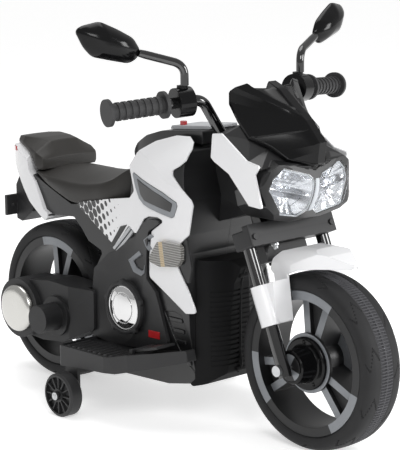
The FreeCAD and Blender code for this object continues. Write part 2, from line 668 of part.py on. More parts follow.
def side_lamp():
    return one_solid(skin(side_lamp_shares, CORNER_RADIUS, SEAT_GAP, LAMP_DEPTH))


def spar_form(grow):
    face = side_face(side(frame_spar_shares), CORNER_RADIUS, -FAR)
    if grow > 0:
        face = face.makeOffset2D(grow)
    return face.extrude(V(0, FAR, 0))


def disc_face():
    x, z = at(disc_centre_share)
    return x, z, disc_half(x, z) + SPAR_PROUD


def disc_half(x, z):
    line = Part.makeLine(V(x, -FAR, z), V(x, 0, z))
    return -line.common(crown(0)).BoundBox.YMin


def frame_spar():
    spar = spar_form(0).common(crown(SPAR_PROUD)).cut(crown(-PANEL_WALL))
    x, z, half = disc_face()
    inner = half - SPAR_PROUD - PANEL_WALL + SEAT_GAP
    bezel = rod_y(x, z, -inner, -half - DISC_PROUD + DISC_LIP, DISC_RADIUS + DISC_BEZEL)
    bezel = bezel.cut(crown(-PANEL_WALL))
    window = side_prism(side(spar_window_shares), -FAR, 0, SMALL_CORNER)
    window = window.cut(crown(WINDOW_FLOOR - PANEL_WALL))
    hole = rod_y(x, z, -FAR, 0, DISC_RADIUS + SEAT_GAP)
    return one_solid(spar.fuse(bezel).cut(window).cut(hole))


def side_fin():
    return one_solid(skin(side_fin_shares, SMALL_CORNER, -PANEL_WALL, FIN_PROUD))


def engine_disc():
    x, z, half = disc_face()
    back = half - SPAR_PROUD - PANEL_WALL + SEAT_GAP
    disc = rod_y(x, z, -back, -half - DISC_PROUD, DISC_RADIUS).cut(crown(-PANEL_WALL))
    return one_solid(disc)


def tank_cover():
    cover = side_prism(side(tank_cover_shares), -FAR, 0, SMALL_CORNER)
    right = cover.common(plan_prism(widths(tank_plan_shares, 0))).cut(crown_outside())
    return one_solid(right.fuse(mirrored(right)).removeSplitter())


def crown_outside():
    """Room kept by the side panels, so the tank top stops short of them."""
    panel = side_prism(side(side_panel_shares), -FAR, 0, CORNER_RADIUS)
    return panel.cut(crown(-PANEL_WALL - SEAT_GAP))


def button_seat():
    x, z = at(button_share)
    return V(x, -BUTTON_SIDE, z + BUTTON_FLOOR)


def dash_panel():
    dash = side_prism(side(dash_shares), -DASH_HALF_WIDTH, DASH_HALF_WIDTH, SMALL_CORNER)
    low = button_seat() - V(0, 0, BUTTON_FLOOR + BUTTON_HEIGHT)
    hole = rod(low, low + V(0, 0, BUTTON_HEIGHT * 4), BUTTON_RADIUS + BUTTON_CLEARANCE)
    return one_solid(dash.cut(hole))


def power_button():
    low = button_seat()
    return rod(low, low + V(0, 0, BUTTON_HEIGHT), BUTTON_RADIUS)


def cushion(stations, lows, ridges, crowns, halves):
    """Lofted seat: flat base, tucked lower edge, side ridge and an arched top at each station."""
    wires = []
    for i in range(len(stations)):
        x = stations[i] * BODY_LENGTH
        low = level(lows[i])
        ridge = level(ridges[i])
        top = level(crowns[i])
        half = halves[i] * BODY_HALF_WIDTH
        foot = half - SEAT_TUCK
        arch = Part.Arc(V(x, half, ridge), V(x, 0, top), V(x, -half, ridge)).toShape()
        lines = [Part.LineSegment(V(x, -half, ridge), V(x, -foot, low)).toShape(),
                 Part.LineSegment(V(x, -foot, low), V(x, foot, low)).toShape(),
                 Part.LineSegment(V(x, foot, low), V(x, half, ridge)).toShape()]
        wires.append(Part.Wire([arch] + lines))
    return Part.makeLoft(wires, True, True)


def seat_pad():
    pad = cushion(seat_station_shares, seat_low_shares, seat_ridge_shares,
                  seat_crown_shares, seat_half_shares)
    shell = side_face(side(body_shell_shares), CORNER_RADIUS, -FAR).makeOffset2D(SEAT_GAP)
    shell = shell.extrude(V(0, FAR + FAR, 0))
    cover = side_face(side(tank_cover_shares), SMALL_CORNER, -FAR).makeOffset2D(SEAT_GAP)
    cover = cover.extrude(V(0, FAR + FAR, 0))
    panel = side_face(side(side_panel_shares), CORNER_RADIUS, -FAR).makeOffset2D(SEAT_GAP)
    panel = panel.extrude(V(0, FAR, 0)).cut(crown(-PANEL_WALL - SEAT_GAP))
    cowl = side_face(side(tail_cowl_shares), CORNER_RADIUS, -FAR).makeOffset2D(SEAT_GAP)
    pad = pad.cut(shell).cut(cowl.extrude(V(0, FAR + FAR, 0)))
    return one_solid(pad.cut(cover).cut(panel).cut(mirrored(panel)))


def pillion_pad():
    pad = cushion(pillion_station_shares, pillion_low_shares, pillion_ridge_shares,
                  pillion_crown_shares, pillion_half_shares)
    cowl = side_face(side(tail_cowl_shares), CORNER_RADIUS, -FAR).makeOffset2D(SEAT_GAP)
    return one_solid(pad.cut(cowl.extrude(V(0, FAR + FAR, 0))))


def tail_section(inset):
    """Front view of the right half of the tail, with a sloping shoulder, carried along the whole length."""
    points = [V(-FAR / 2, -y * BODY_HALF_WIDTH, level(z)) for y, z in tail_front_shares]
    face = Part.Face(Part.makePolygon(points + points[:1]))
    return face.extrude(V(FAR, 0, 0)).translated(V(0, 0, -inset))


def tail_cowl():
    points = side(tail_cowl_shares)
    outer = side_prism(points, -FAR, 0, CORNER_RADIUS).common(plan_prism(widths(tail_plan_shares, 0)))
    outer = outer.common(tail_section(0))
    inner = inset_prism(points, -FAR, 0, CORNER_RADIUS, TAIL_WALL)
    inner = inner.common(plan_prism(widths(tail_plan_shares, -TAIL_WALL))).common(tail_section(TAIL_WALL))
    port = side_prism(side(tail_port_shares), -TAIL_PORT_HALF, 0, SMALL_CORNER)
    half = outer.cut(inner).cut(port)
    cowl = half.fuse(mirrored(half)).removeSplitter()
    shell = side_face(side(body_shell_shares), CORNER_RADIUS, -FAR).makeOffset2D(SEAT_GAP)
    return one_solid(cowl.cut(shell.extrude(V(0, FAR + FAR, 0))).cut(wheel_room(REAR_AXLE_X)))


def tail_lamp():
    lamp = side_prism(side(tail_lamp_shares), -TAIL_LAMP_HALF, TAIL_LAMP_HALF, SMALL_CORNER)
    cowl = side_face(side(tail_cowl_shares), CORNER_RADIUS, -FAR).makeOffset2D(SEAT_GAP)
    return one_solid(lamp.cut(cowl.extrude(V(0, FAR + FAR, 0))))


def plate_holder():
    arm = side_prism(side(plate_holder_shares), -PLATE_ARM_HALF, PLATE_ARM_HALF, SMALL_CORNER)
    plate = side_prism(side(plate_shares), -PLATE_HALF, PLATE_HALF, SMALL_CORNER / 2)
    cowl = side_face(side(tail_cowl_shares), CORNER_RADIUS, -FAR).makeOffset2D(SEAT_GAP)
    holder = arm.fuse(plate).cut(cowl.extrude(V(0, FAR + FAR, 0)))
    z = level(plate_hole_share)
    for y in (-PLATE_HOLE_SIDE, PLATE_HOLE_SIDE):
        holder = holder.cut(rod(V(-FAR, y, z), V(-PLATE_HALF, y, z), PLATE_HOLE_RADIUS))
    return one_solid(holder.removeSplitter())


def radiator_block():
    points = side(radiator_shares)
    outer = side_prism(points, -FAR, 0, CORNER_RADIUS).common(plan_prism(widths(radiator_plan_shares, 0)))
    deep = RADIATOR_WALL + RIB_DEPTH
    inner = inset_prism(points, -FAR, 0, CORNER_RADIUS, deep)
    inner = inner.common(plan_prism(widths(radiator_plan_shares, -deep)))
    half = outer.cut(inner)
    low = level(rib_low_share)
    step = (rib_high_share - rib_low_share) * BODY_HEIGHT / RIB_COUNT
    core = side_face(points, CORNER_RADIUS, -FAR).makeOffset2D(-RIB_DEPTH).extrude(V(0, FAR, 0))
    core = core.common(plan_prism(widths(radiator_plan_shares, -RIB_DEPTH)))
    x = radiator_face_share * BODY_LENGTH
    slots = []
    for i in range(RIB_COUNT):
        slots.append(box(x, x + FAR, -RIB_HALF, -SEAM_HALF, low + i * step, low + i * step + RIB_SLOT))
    half = half.cut(Part.makeCompound(slots).cut(core))
    shell = side_face(side(body_shell_shares), CORNER_RADIUS, -FAR).makeOffset2D(SEAT_GAP)
    half = half.cut(shell.extrude(V(0, FAR, 0)))
    return one_solid(half.fuse(mirrored(half)).removeSplitter())


def tyre(x):
    half = TYRE_WIDTH / 2
    seat = RIM_WIDTH / 2 - RIM_FLANGE - SEAT_GAP
    r0 = RIM_SEAT_RADIUS + SEAT_GAP
    r1 = RIM_FLANGE_RADIUS + SEAT_GAP
    depth = WHEEL_RADIUS - r1
    bulge = r1 + depth * 0.4
    shoulder = r1 + depth * TYRE_SHOULDER
    points = [(r0, -seat), (r1, -seat), (bulge, -half), (shoulder, -half * TYRE_SHOULDER),
              (WHEEL_RADIUS, -half * TYRE_CROWN / 2), (WHEEL_RADIUS, half * TYRE_CROWN / 2),
              (shoulder, half * TYRE_SHOULDER), (bulge, half), (r1, seat), (r0, seat)]
    wall = TYRE_WALL
    points += [(r0, seat - wall), (bulge, half - wall), (shoulder - wall, half * TYRE_SHOULDER - wall),
               (WHEEL_RADIUS - wall, 0), (shoulder - wall, wall - half * TYRE_SHOULDER),
               (bulge, wall - half), (r0, wall - seat)]
    flat = [V(r, y, 0) for r, y in points]
    left = Part.Arc(flat[6], (flat[6] + flat[7]) * 0.5 + V(depth * 0.06, half * 0.05, 0), flat[7])
    right = Part.Arc(flat[2], (flat[2] + flat[3]) * 0.5 + V(depth * 0.06, -half * 0.05, 0), flat[3])
    edges = []
    for i in range(len(flat)):
        if i == 2:
            edges.append(right.toShape())
        elif i == 6:
            edges.append(left.toShape())
        else:
            edges.append(Part.LineSegment(flat[i], flat[(i + 1) % len(flat)]).toShape())
    solid = Part.Face(Part.Wire(edges)).revolve(V(0, 0, 0), Y_AXIS, 360)
    return solid.translated(V(x, 0, WHEEL_RADIUS))


def spoke(angle):
    r_from = HUB_RADIUS * 0.8
    r_to = RIM_SEAT_RADIUS - RIM_BARREL_WALL / 2
    blade = box(r_from, r_to, -SPOKE_DEPTH / 2, SPOKE_DEPTH / 2, -SPOKE_WIDTH / 2, SPOKE_WIDTH / 2)
    blade.rotate(V(0, 0, 0), Y_AXIS, -angle)
    return blade


def rim(x, reach, reach_radius):
    half = RIM_WIDTH / 2
    seat = half - RIM_FLANGE
    inner = RIM_SEAT_RADIUS - RIM_BARREL_WALL
    barrel = turned([(inner, -half), (RIM_FLANGE_RADIUS, -half), (RIM_FLANGE_RADIUS, -seat),
                     (RIM_SEAT_RADIUS, -seat), (RIM_SEAT_RADIUS, seat), (RIM_FLANGE_RADIUS, seat),
                     (RIM_FLANGE_RADIUS, half), (inner, half)], 0, 0)
    hub = rod_y(0, 0, -HUB_WIDTH / 2, HUB_WIDTH / 2, HUB_RADIUS)
    ring = rod_y(0, 0, -HUB_RING_WIDTH / 2, HUB_RING_WIDTH / 2, HUB_RING_RADIUS)
    gap = HUB_RING_WIDTH / 2 - HUB_RING_WALL
    ring = ring.cut(rod_y(0, 0, -gap, gap, HUB_RING_RADIUS + FAR))
    hub = hub.fuse(ring).fuse(rod_y(0, 0, -reach, reach, reach_radius))
    for i in range(SPOKE_PAIRS):
        angle = SPOKE_PHASE + i * 360 / SPOKE_PAIRS
        hub = hub.fuse(spoke(angle - SPOKE_SPREAD)).fuse(spoke(angle + SPOKE_SPREAD))
    star = hub.common(rod_y(0, 0, -FAR, FAR, inner - RUNNING_CLEARANCE))
    star = one_solid(star.cut(rod_y(0, 0, -FAR, FAR, AXLE_RADIUS + RUNNING_CLEARANCE)))
    return Part.makeCompound([barrel, star]).translated(V(x, 0, WHEEL_RADIUS))


def involute(angle):
    return math.tan(angle) - angle


def gear(teeth, y_from, width, x, turn):
    """Spur gear about Y with involute flanks, a tooth pointing along +X before the turn."""
    pitch = GEAR_MODULE * teeth / 2
    base = pitch * math.cos(math.radians(PRESSURE_ANGLE))
    tip = pitch + GEAR_MODULE * 0.9
    root = pitch - GEAR_MODULE * 1.3
    half = (math.pi * GEAR_MODULE / 2 - BACKLASH / 2) / 2 / pitch
    start = max(base, root)
    flank = []
    for i in range(FLANK_STEPS):
        r = start + (tip - start) * i / (FLANK_STEPS - 1)
        angle = half + involute(math.radians(PRESSURE_ANGLE)) - involute(math.acos(min(1, base / r)))
        flank.append((r, angle))
    profile = [(root, flank[0][1])] if root < start else []
    profile = profile + flank
    points = []
    for i in range(teeth):
        centre = turn + 2 * math.pi * i / teeth
        for r, angle in profile:
            points.append(V(r * math.cos(centre - angle), 0, r * math.sin(centre - angle)))
        for r, angle in reversed(profile):
            points.append(V(r * math.cos(centre + angle), 0, r * math.sin(centre + angle)))
    face = Part.Face(Part.makePolygon(points + points[:1]))
    solid = face.extrude(V(0, -width, 0))
    return solid.translated(V(x, -y_from, WHEEL_RADIUS))


def drive_gear():
    wheel = gear(WHEEL_TEETH, GEAR_INNER, GEAR_WIDTH, REAR_AXLE_X, 0)
    return wheel.cut(rod_y(REAR_AXLE_X, WHEEL_RADIUS, -FAR, FAR, REAR_HUB_RADIUS + RUNNING_CLEARANCE))


def idler_gear():
    gap = math.pi / IDLER_SMALL_TEETH
    small = gear(IDLER_SMALL_TEETH, GEAR_INNER, GEAR_WIDTH + GEAR_STEP, IDLER_X, math.pi + gap)
    big = gear(IDLER_BIG_TEETH, IDLER_BIG_INNER, GEAR_WIDTH, IDLER_X, 0)
    hole = rod_y(IDLER_X, WHEEL_RADIUS, -FAR, FAR, IDLER_PIN_RADIUS + RUNNING_CLEARANCE)
    return one_solid(small.fuse(big).cut(hole))


def motor_pinion():
    gap = math.pi / PINION_TEETH
    pinion = gear(PINION_TEETH, IDLER_BIG_INNER, GEAR_WIDTH, MOTOR_X, math.pi + gap)
    shaft = rod_y(MOTOR_X, WHEEL_RADIUS, -MOTOR_FACE - MOTOR_LENGTH / 2, -IDLER_BIG_INNER,
                  MOTOR_SHAFT_RADIUS)
    return one_solid(pinion.fuse(shaft))


def motor():
    can = rod_y(MOTOR_X, WHEEL_RADIUS, -MOTOR_FACE - MOTOR_LENGTH, -MOTOR_FACE, MOTOR_RADIUS)
    bore = rod_y(MOTOR_X, WHEEL_RADIUS, -MOTOR_FACE - MOTOR_LENGTH / 2 - GEAR_STEP, -MOTOR_FACE,
                 MOTOR_SHAFT_RADIUS + RUNNING_CLEARANCE)
    return can.cut(bore)


def arm_points():
    return [(x * BODY_LENGTH, WHEEL_RADIUS + z * ARM_END_RADIUS) for x, z in swing_arm_shares]


def arm_nose():
    """Wedge that tapers the outer face of the arm in towards the frame."""
    x_from = arm_nose_share * BODY_LENGTH
    x_to = swing_arm_shares[0][0] * BODY_LENGTH + CORNER_RADIUS
    near = [V(x_from, -ARM_OUTER, 0), V(x_to, -ARM_OUTER + ARM_NOSE_TAPER, 0)]
    points = near + [V(x_to, -FAR, 0), V(x_from, -FAR, 0)]
    return Part.Face(Part.makePolygon(points + points[:1])).extrude(V(0, 0, FAR))


def swing_arm(geared):
    points = arm_points()
    outer = side_prism(points, -ARM_OUTER, -ARM_INNER, CORNER_RADIUS)
    outer = outer.fuse(rod_y(REAR_AXLE_X, WHEEL_RADIUS, -ARM_OUTER, -ARM_INNER, ARM_END_RADIUS))
    nose = arm_nose()
    outer = outer.cut(nose)
    inner = inset_prism(points, -ARM_OUTER + ARM_WALL, 0, CORNER_RADIUS, ARM_WALL)
    inner = inner.cut(nose.translated(V(0, ARM_WALL, 0)))
    inner = inner.fuse(rod_y(REAR_AXLE_X, WHEEL_RADIUS, -ARM_OUTER + ARM_WALL, 0,
                             ARM_END_RADIUS - ARM_WALL))
    step = arm_step_share * BODY_LENGTH
    arm = outer.cut(inner)
    arm = arm.cut(box(step, 0, -FAR, 0, 0, FAR).common(crown(SPAR_PROUD + SEAT_GAP)))
    end = rod_y(REAR_AXLE_X, WHEEL_RADIUS, -ARM_OUTER - ARM_END_PROUD, -ARM_OUTER + ARM_WALL,
                ARM_END_RADIUS)
    boss = rod_y(REAR_AXLE_X, WHEEL_RADIUS, -ARM_OUTER, -ARM_BOSS_INNER, ARM_BOSS_RADIUS)
    arm = arm.fuse(end).fuse(boss)
    arm = arm.cut(rod_y(REAR_AXLE_X, WHEEL_RADIUS, -ARM_OUTER - AXLE_STOP, 0,
                        AXLE_RADIUS + RUNNING_CLEARANCE))
    housing = rod_y(MOTOR_X, WHEEL_RADIUS, -MOTOR_FACE - MOTOR_LENGTH - MOTOR_CAP - SEAT_GAP, -ARM_OUTER,
                    MOTOR_HOUSING_RADIUS)
    flange = rod_y(MOTOR_X, WHEEL_RADIUS, -ARM_OUTER - MOTOR_FLANGE, -ARM_OUTER + ARM_WALL,
                   MOTOR_FLANGE_RADIUS)
    arm = arm.fuse(housing).fuse(flange)
    arm = arm.cut(rod_y(MOTOR_X, WHEEL_RADIUS, -MOTOR_FACE - MOTOR_LENGTH - SEAT_GAP, -ARM_INNER,
                        MOTOR_RADIUS + SEAT_GAP))
    if geared:
        pin = rod_y(IDLER_X, WHEEL_RADIUS, -ARM_OUTER, -GEAR_INNER, IDLER_PIN_RADIUS)
        stop = rod_y(IDLER_X, WHEEL_RADIUS, -ARM_OUTER, -IDLER_BIG_INNER - GEAR_WIDTH - GEAR_STEP,
                     IDLER_PIN_RADIUS * 2)
        arm = arm.fuse(pin).fuse(stop)
    return one_solid(arm.removeSplitter())


def rear_axle():
    reach = ARM_OUTER + AXLE_STOP
    return rod_y(REAR_AXLE_X, WHEEL_RADIUS, -reach, reach, AXLE_RADIUS)


def hub_cap():
    face = ARM_OUTER + ARM_END_PROUD + SEAT_GAP
    cap = rod_y(REAR_AXLE_X, WHEEL_RADIUS, -face - HUB_CAP_DEPTH / 2, -face, HUB_CAP_RADIUS)
    step = rod_y(REAR_AXLE_X, WHEEL_RADIUS, -face - HUB_CAP_DEPTH, -face, HUB_CAP_RADIUS - HUB_CAP_STEP)
    return one_solid(cap.fuse(step))


def battery():
    x, z = at(battery_share)
    case = box(x - BATTERY_LENGTH / 2, x + BATTERY_LENGTH / 2, -BATTERY_WIDTH / 2, BATTERY_WIDTH / 2,
               z, z + BATTERY_HEIGHT)
    for y in (-TERMINAL_SIDE, TERMINAL_SIDE):
        top = V(x - BATTERY_LENGTH / 4, y, z + BATTERY_HEIGHT)
        case = case.fuse(rod(top, top + V(0, 0, TERMINAL_HEIGHT), TERMINAL_RADIUS))
    return one_solid(case)


def battery_lead():
    x, z = at(battery_share)
    x = x + BATTERY_LENGTH / 2 - LEAD_SETBACK
    points = [V(x, 0, z + BATTERY_HEIGHT + SEAT_GAP), V(x, 0, level(lead_rise_share))]
    return bent_rod(points + [V(x, 0, z) for x, z in side(lead_shares)], LEAD_BEND, LEAD_RADIUS)


def footrest():
    points = side(footrest_shares)
    plan = [V(x * BODY_LENGTH, -y * FOOTREST_HALF, 0) for x, y in footrest_plan_shares]
    plan_face = Part.Face(rounded_wire(plan, CORNER_RADIUS))
    block = side_prism(points, -FAR, 0, SMALL_CORNER).common(plan_face.extrude(V(0, 0, FAR)))
    pocket = plan_face.makeOffset2D(-FOOTREST_RIM).extrude(V(0, 0, FAR))
    raised = side_prism(points, -FAR, 0, SMALL_CORNER).translated(V(0, 0, -FOOTREST_FLOOR))
    block = block.cut(pocket.cut(raised))
    block = block.cut(crown(-PANEL_WALL)).cut(spar_form(SEAT_GAP).common(crown(SPAR_PROUD + SEAT_GAP)))
    arm = side_face(arm_points(), CORNER_RADIUS, -FAR).makeOffset2D(SEAT_GAP)
    return one_solid(block.cut(arm.extrude(V(0, FAR - ARM_INNER, 0))))


def pedal_hinge():
    x, z = at(pedal_hinge_share)
    return x, z


def accelerator_pedal():
    x, z = pedal_hinge()
    y_from = -PEDAL_INNER - PEDAL_WIDTH
    barrel = rod_y(x, z, y_from, -PEDAL_INNER, PEDAL_BARREL)
    blade = side_prism([(x, z - PEDAL_THICK / 2), (x, z + PEDAL_THICK / 2),
                        (x + PEDAL_LENGTH, z + PEDAL_LIFT + PEDAL_THICK),
                        (x + PEDAL_LENGTH, z + PEDAL_LIFT)], y_from, -PEDAL_INNER, PEDAL_THICK / 4)
    hole = rod_y(x, z, -FAR, 0, PEDAL_PIN + RUNNING_CLEARANCE)
    return one_solid(barrel.fuse(blade).cut(hole))


def pedal_footrest():
    x, z = pedal_hinge()
    rest = footrest()
    for y_from in (-PEDAL_INNER + PEDAL_LUG_GAP, -PEDAL_INNER - PEDAL_WIDTH - PEDAL_LUG_GAP - PEDAL_LUG):
        foot = box(x - PEDAL_BARREL, x + PEDAL_BARREL, y_from, y_from + PEDAL_LUG,
                   z - PEDAL_LIFT - PEDAL_BARREL, z + PEDAL_BARREL)
        rest = rest.fuse(foot)
    pin = rod_y(x, z, -PEDAL_INNER - PEDAL_WIDTH - PEDAL_LUG, -PEDAL_INNER + PEDAL_LUG, PEDAL_PIN)
    return one_solid(rest.fuse(pin).cut(crown(-PANEL_WALL)))


def training_bracket():
    x = training_axle_share * BODY_LENGTH
    top = at(footrest_shares[0])[1]
    plate = box(x - BRACKET_HALF, x + BRACKET_HALF, -BRACKET_SIDE, -BRACKET_SIDE + BRACKET_THICKNESS,
                TRAINING_RADIUS - BRACKET_HALF, top)
    low = at(footrest_shares[-1])[1] - BRACKET_THICKNESS
    shelf = box(x - BRACKET_HALF, x + BRACKET_HALF, -BRACKET_SIDE, -BRACKET_SIDE + BRACKET_SHELF, low, top)
    rest = side_face(side(footrest_shares), SMALL_CORNER, -FAR).makeOffset2D(SEAT_GAP)
    rest = rest.extrude(V(0, FAR, 0))
    end = TRAINING_SIDE + TRAINING_WIDTH / 2
    pin = rod_y(x, TRAINING_RADIUS, -end - BRACKET_GAP, -BRACKET_SIDE, TRAINING_PIN_RADIUS)
    head = rod_y(x, TRAINING_RADIUS, -end - BRACKET_GAP - PIN_HEAD, -end - BRACKET_GAP, PIN_HEAD_RADIUS)
    return one_solid(plate.fuse(shelf).cut(rest).fuse(pin).fuse(head))


def training_wheel():
    x = training_axle_share * BODY_LENGTH
    y = -TRAINING_SIDE
    half = TRAINING_WIDTH / 2
    r = TRAINING_RADIUS
    bevel = TRAINING_RECESS / 2
    rim_r = r - TRAINING_RECESS
    hub = TRAINING_HUB_RADIUS
    bore = TRAINING_PIN_RADIUS + RUNNING_CLEARANCE
    deep = half - TRAINING_RECESS
    ring = [(bore, -half), (hub, -half), (hub, -deep), (rim_r, -deep), (rim_r, -half), (r - bevel, -half),
            (r, -half + bevel), (r, half - bevel), (r - bevel, half), (rim_r, half), (rim_r, deep),
            (hub, deep), (hub, half), (bore, half)]
    return turned(ring, x, r).translated(V(0, y, 0))


def fork_tube():
    tube = steer_rod(FORK_OFFSET, -FORK_HALF, AXLE_RISE - FORK_TOE, CLAMP_LOW + CLAMP_HEIGHT, FORK_RADIUS)
    hollow = steer_rod(FORK_OFFSET, -FORK_HALF, AXLE_RISE + FORK_TOE, CLAMP_LOW + CLAMP_HEIGHT,
                       FORK_RADIUS - FORK_WALL)
    hole = rod_y(FRONT_AXLE_X, WHEEL_RADIUS, -FAR, FAR, AXLE_RADIUS + RUNNING_CLEARANCE)
    return one_solid(tube.cut(hollow).cut(hole))


def fascia_box(grow):
    return steer_box(CLAMP_FRONT - FASCIA_DEPTH - grow, CLAMP_FRONT + grow, CLAMP_HALF + grow, CLAMP_LOW,
                     CLAMP_LOW + CLAMP_HEIGHT + FASCIA_RISE + grow)


def lower_clamp():
    bar = steer_box(-CLAMP_BACK, CLAMP_FRONT, CLAMP_HALF, CLAMP_LOW, CLAMP_LOW + CLAMP_HEIGHT)
    bar = bar.fuse(fascia_box(0)).removeSplitter()
    corner = [edge for edge in bar.Edges if min(v.Point.y for v in edge.Vertexes) > CLAMP_HALF - SEAT_GAP]
    corner += [edge for edge in bar.Edges if max(v.Point.y for v in edge.Vertexes) < SEAT_GAP - CLAMP_HALF]
    bar = bar.makeFillet(SMALL_CORNER, corner)
    room = CLAMP_LOW + CLAMP_HEIGHT + FORK_TOE
    ends = steer_box(-CLAMP_BACK - FORK_TOE, FORK_OFFSET - CLAMP_CHEEK, CLAMP_HALF + FORK_TOE, 0, room)
    bar = bar.cut(ends.cut(steer_box(-FAR, FAR, CLAMP_WAIST, 0, room)))
    brace = steer_box(BRACE_BACK, BRACE_FRONT, BRACE_HALF, CLAMP_LOW - BRACE_DROP, CLAMP_LOW + SMALL_CORNER)
    bar = bar.fuse(brace)
    top = CLAMP_LOW + CLAMP_HEIGHT + FORK_TOE
    low = CLAMP_LOW - BRACE_DROP - FORK_TOE
    for y in (-FORK_HALF, FORK_HALF):
        bar = bar.cut(steer_rod(FORK_OFFSET, y, low, top, FORK_RADIUS + RUNNING_CLEARANCE))
    bar = bar.cut(steer_rod(0, 0, CLAMP_LOW, top, STEM_RADIUS + RUNNING_CLEARANCE))
    for shank in clamp_screw_parts(RUNNING_CLEARANCE):
        bar = bar.cut(shank)
    return one_solid(bar)


def clamp_screw_parts(grow):
    parts = []
    rise = CLAMP_LOW + CLAMP_HEIGHT / 2
    for y in (-SCREW_SIDE, SCREW_SIDE):
        start = steer_point(CLAMP_FRONT - SCREW_RADIUS / 2, y, rise)
        parts.append(rod(start, steer_point(CLAMP_FRONT, y, rise), SCREW_SHANK_RADIUS + grow))
    return parts


def clamp_screws():
    screws = []
    rise = CLAMP_LOW + CLAMP_HEIGHT / 2
    for y, shank in zip((-SCREW_SIDE, SCREW_SIDE), clamp_screw_parts(0)):
        head = rod(steer_point(CLAMP_FRONT, y, rise), steer_point(CLAMP_FRONT + SCREW_HEAD, y, rise),
                   SCREW_RADIUS)
        screws.append(one_solid(head.fuse(shank)))
    return Part.makeCompound(screws)


def steering_stem():
    return steer_rod(0, 0, CLAMP_LOW, BAR_CLAMP_LOW + BAR_CLAMP_HEIGHT / 4, STEM_RADIUS)


def steering_head():
    tube = steer_rod(0, 0, HEAD_LOW, HEAD_LOW + HEAD_LENGTH, HEAD_RADIUS)
    web = side_prism(side(head_web_shares), -HEAD_WEB_HALF, HEAD_WEB_HALF, SMALL_CORNER)
    shell = side_face(side(body_shell_shares), CORNER_RADIUS, -FAR).makeOffset2D(SEAT_GAP)
    head = tube.fuse(web.cut(shell.extrude(V(0, FAR + FAR, 0))))
    bore = steer_rod(0, 0, HEAD_LOW - BUSH_LENGTH, HEAD_LOW + HEAD_LENGTH + BUSH_LENGTH,
                     BUSH_RADIUS + RUNNING_CLEARANCE)
    head = head.cut(bore)
    for low in (HEAD_LOW - BUSH_LENGTH, HEAD_LOW + HEAD_LENGTH):
        head = head.cut(steer_rod(0, 0, low, low + BUSH_LENGTH, HEAD_RADIUS + SMALL_CORNER))
    return one_solid(head)


def steering_bush(low, up):
    high = low + up * BUSH_LENGTH
    body = steer_rod(0, 0, low, high, BUSH_RADIUS)
    flange = steer_rod(0, 0, low, low - up * BUSH_FLANGE, BUSH_FLANGE_RADIUS)
    bore = steer_rod(0, 0, HEAD_LOW - BUSH_LENGTH, HEAD_LOW + HEAD_LENGTH + BUSH_LENGTH,
                     STEM_RADIUS + RUNNING_CLEARANCE)
    return one_solid(body.fuse(flange).cut(bore))


def steering_bushes():
    return Part.makeCompound([steering_bush(HEAD_LOW, 1), steering_bush(HEAD_LOW + HEAD_LENGTH, -1)])


def front_axle():
    reach = FORK_HALF + FORK_RADIUS + SEAT_GAP
    bar = rod_y(FRONT_AXLE_X, WHEEL_RADIUS, -reach, reach, AXLE_RADIUS)
    for way in (-1, 1):
        bar = bar.fuse(rod_y(FRONT_AXLE_X, WHEEL_RADIUS, way * reach, way * (reach + AXLE_HEAD),
                             AXLE_HEAD_RADIUS))
    return one_solid(bar)


def by_wheel(shares):
    return [(FRONT_AXLE_X + x * WHEEL_RADIUS, WHEEL_RADIUS + z * WHEEL_RADIUS) for x, z in shares]


def fender_form():
    form = side_prism(by_wheel(fender_shares), -FENDER_HALF, FENDER_HALF, CORNER_RADIUS)
    section = [V(0, -y * FENDER_HALF, WHEEL_RADIUS + z * WHEEL_RADIUS) for y, z in fender_section_shares]
    section = section + [V(0, -p.y, p.z) for p in reversed(section[:-1])]
    bow = Part.BSplineCurve()
    bow.interpolate(section)
    hood = Part.Face(Part.Wire([bow.toShape(), Part.makeLine(section[-1], section[0])]))
    return form.common(hood.extrude(V(FAR, 0, 0)))


def front_fender():
    plan = plan_prism([(FRONT_AXLE_X + x * WHEEL_RADIUS, y * FENDER_HALF) for x, y in fender_plan_shares])
    hood = fender_form().common(plan.fuse(mirrored(plan)))
    shrink = FreeCAD.Matrix()
    shrink.scale(1, (FENDER_HALF - FENDER_WALL) / FENDER_HALF, 1)
    hollow = hood.transformGeometry(shrink).translated(V(0, 0, -FENDER_WALL))
    hood = hood.cut(hollow)
    inner = FENDER_HALF - FENDER_WALL
    leg_points = by_wheel(fender_leg_shares)
    for way in (-1, 1):
        hood = hood.fuse(side_prism(leg_points, way * inner, way * FENDER_HALF, SMALL_CORNER))
        collar = steer_rod(FORK_OFFSET, way * FORK_HALF, COLLAR_LOW, COLLAR_LOW + COLLAR_LENGTH, COLLAR_RADIUS)
        bridge = side_prism(leg_points, way * inner, way * FORK_HALF, SMALL_CORNER)
        slab = steer_box(-FAR, FAR, FAR, COLLAR_LOW, COLLAR_LOW + COLLAR_LENGTH)
        hood = hood.fuse(bridge.common(slab)).fuse(collar)
        hood = hood.cut(steer_rod(FORK_OFFSET, way * FORK_HALF, 0, CLAMP_LOW, FORK_RADIUS + RUNNING_CLEARANCE))
    return one_solid(hood)


def bar_points():
    seat = steer_point(0, 0, BAR_SEAT)
    knee_x, knee_z = at(bar_knee_share)
    end_x, end_z = at(bar_end_share)
    right = [V(seat.x, -BAR_FLAT, seat.z), V(knee_x, -BAR_KNEE_SIDE, knee_z), V(end_x, -BAR_END_SIDE, end_z)]
    left = [V(p.x, -p.y, p.z) for p in right]
    return right[::-1] + left


def bar_place(y):
    points = bar_points()
    share = (y - BAR_KNEE_SIDE) / (BAR_END_SIDE - BAR_KNEE_SIDE)
    return points[1] + (points[0] - points[1]) * share


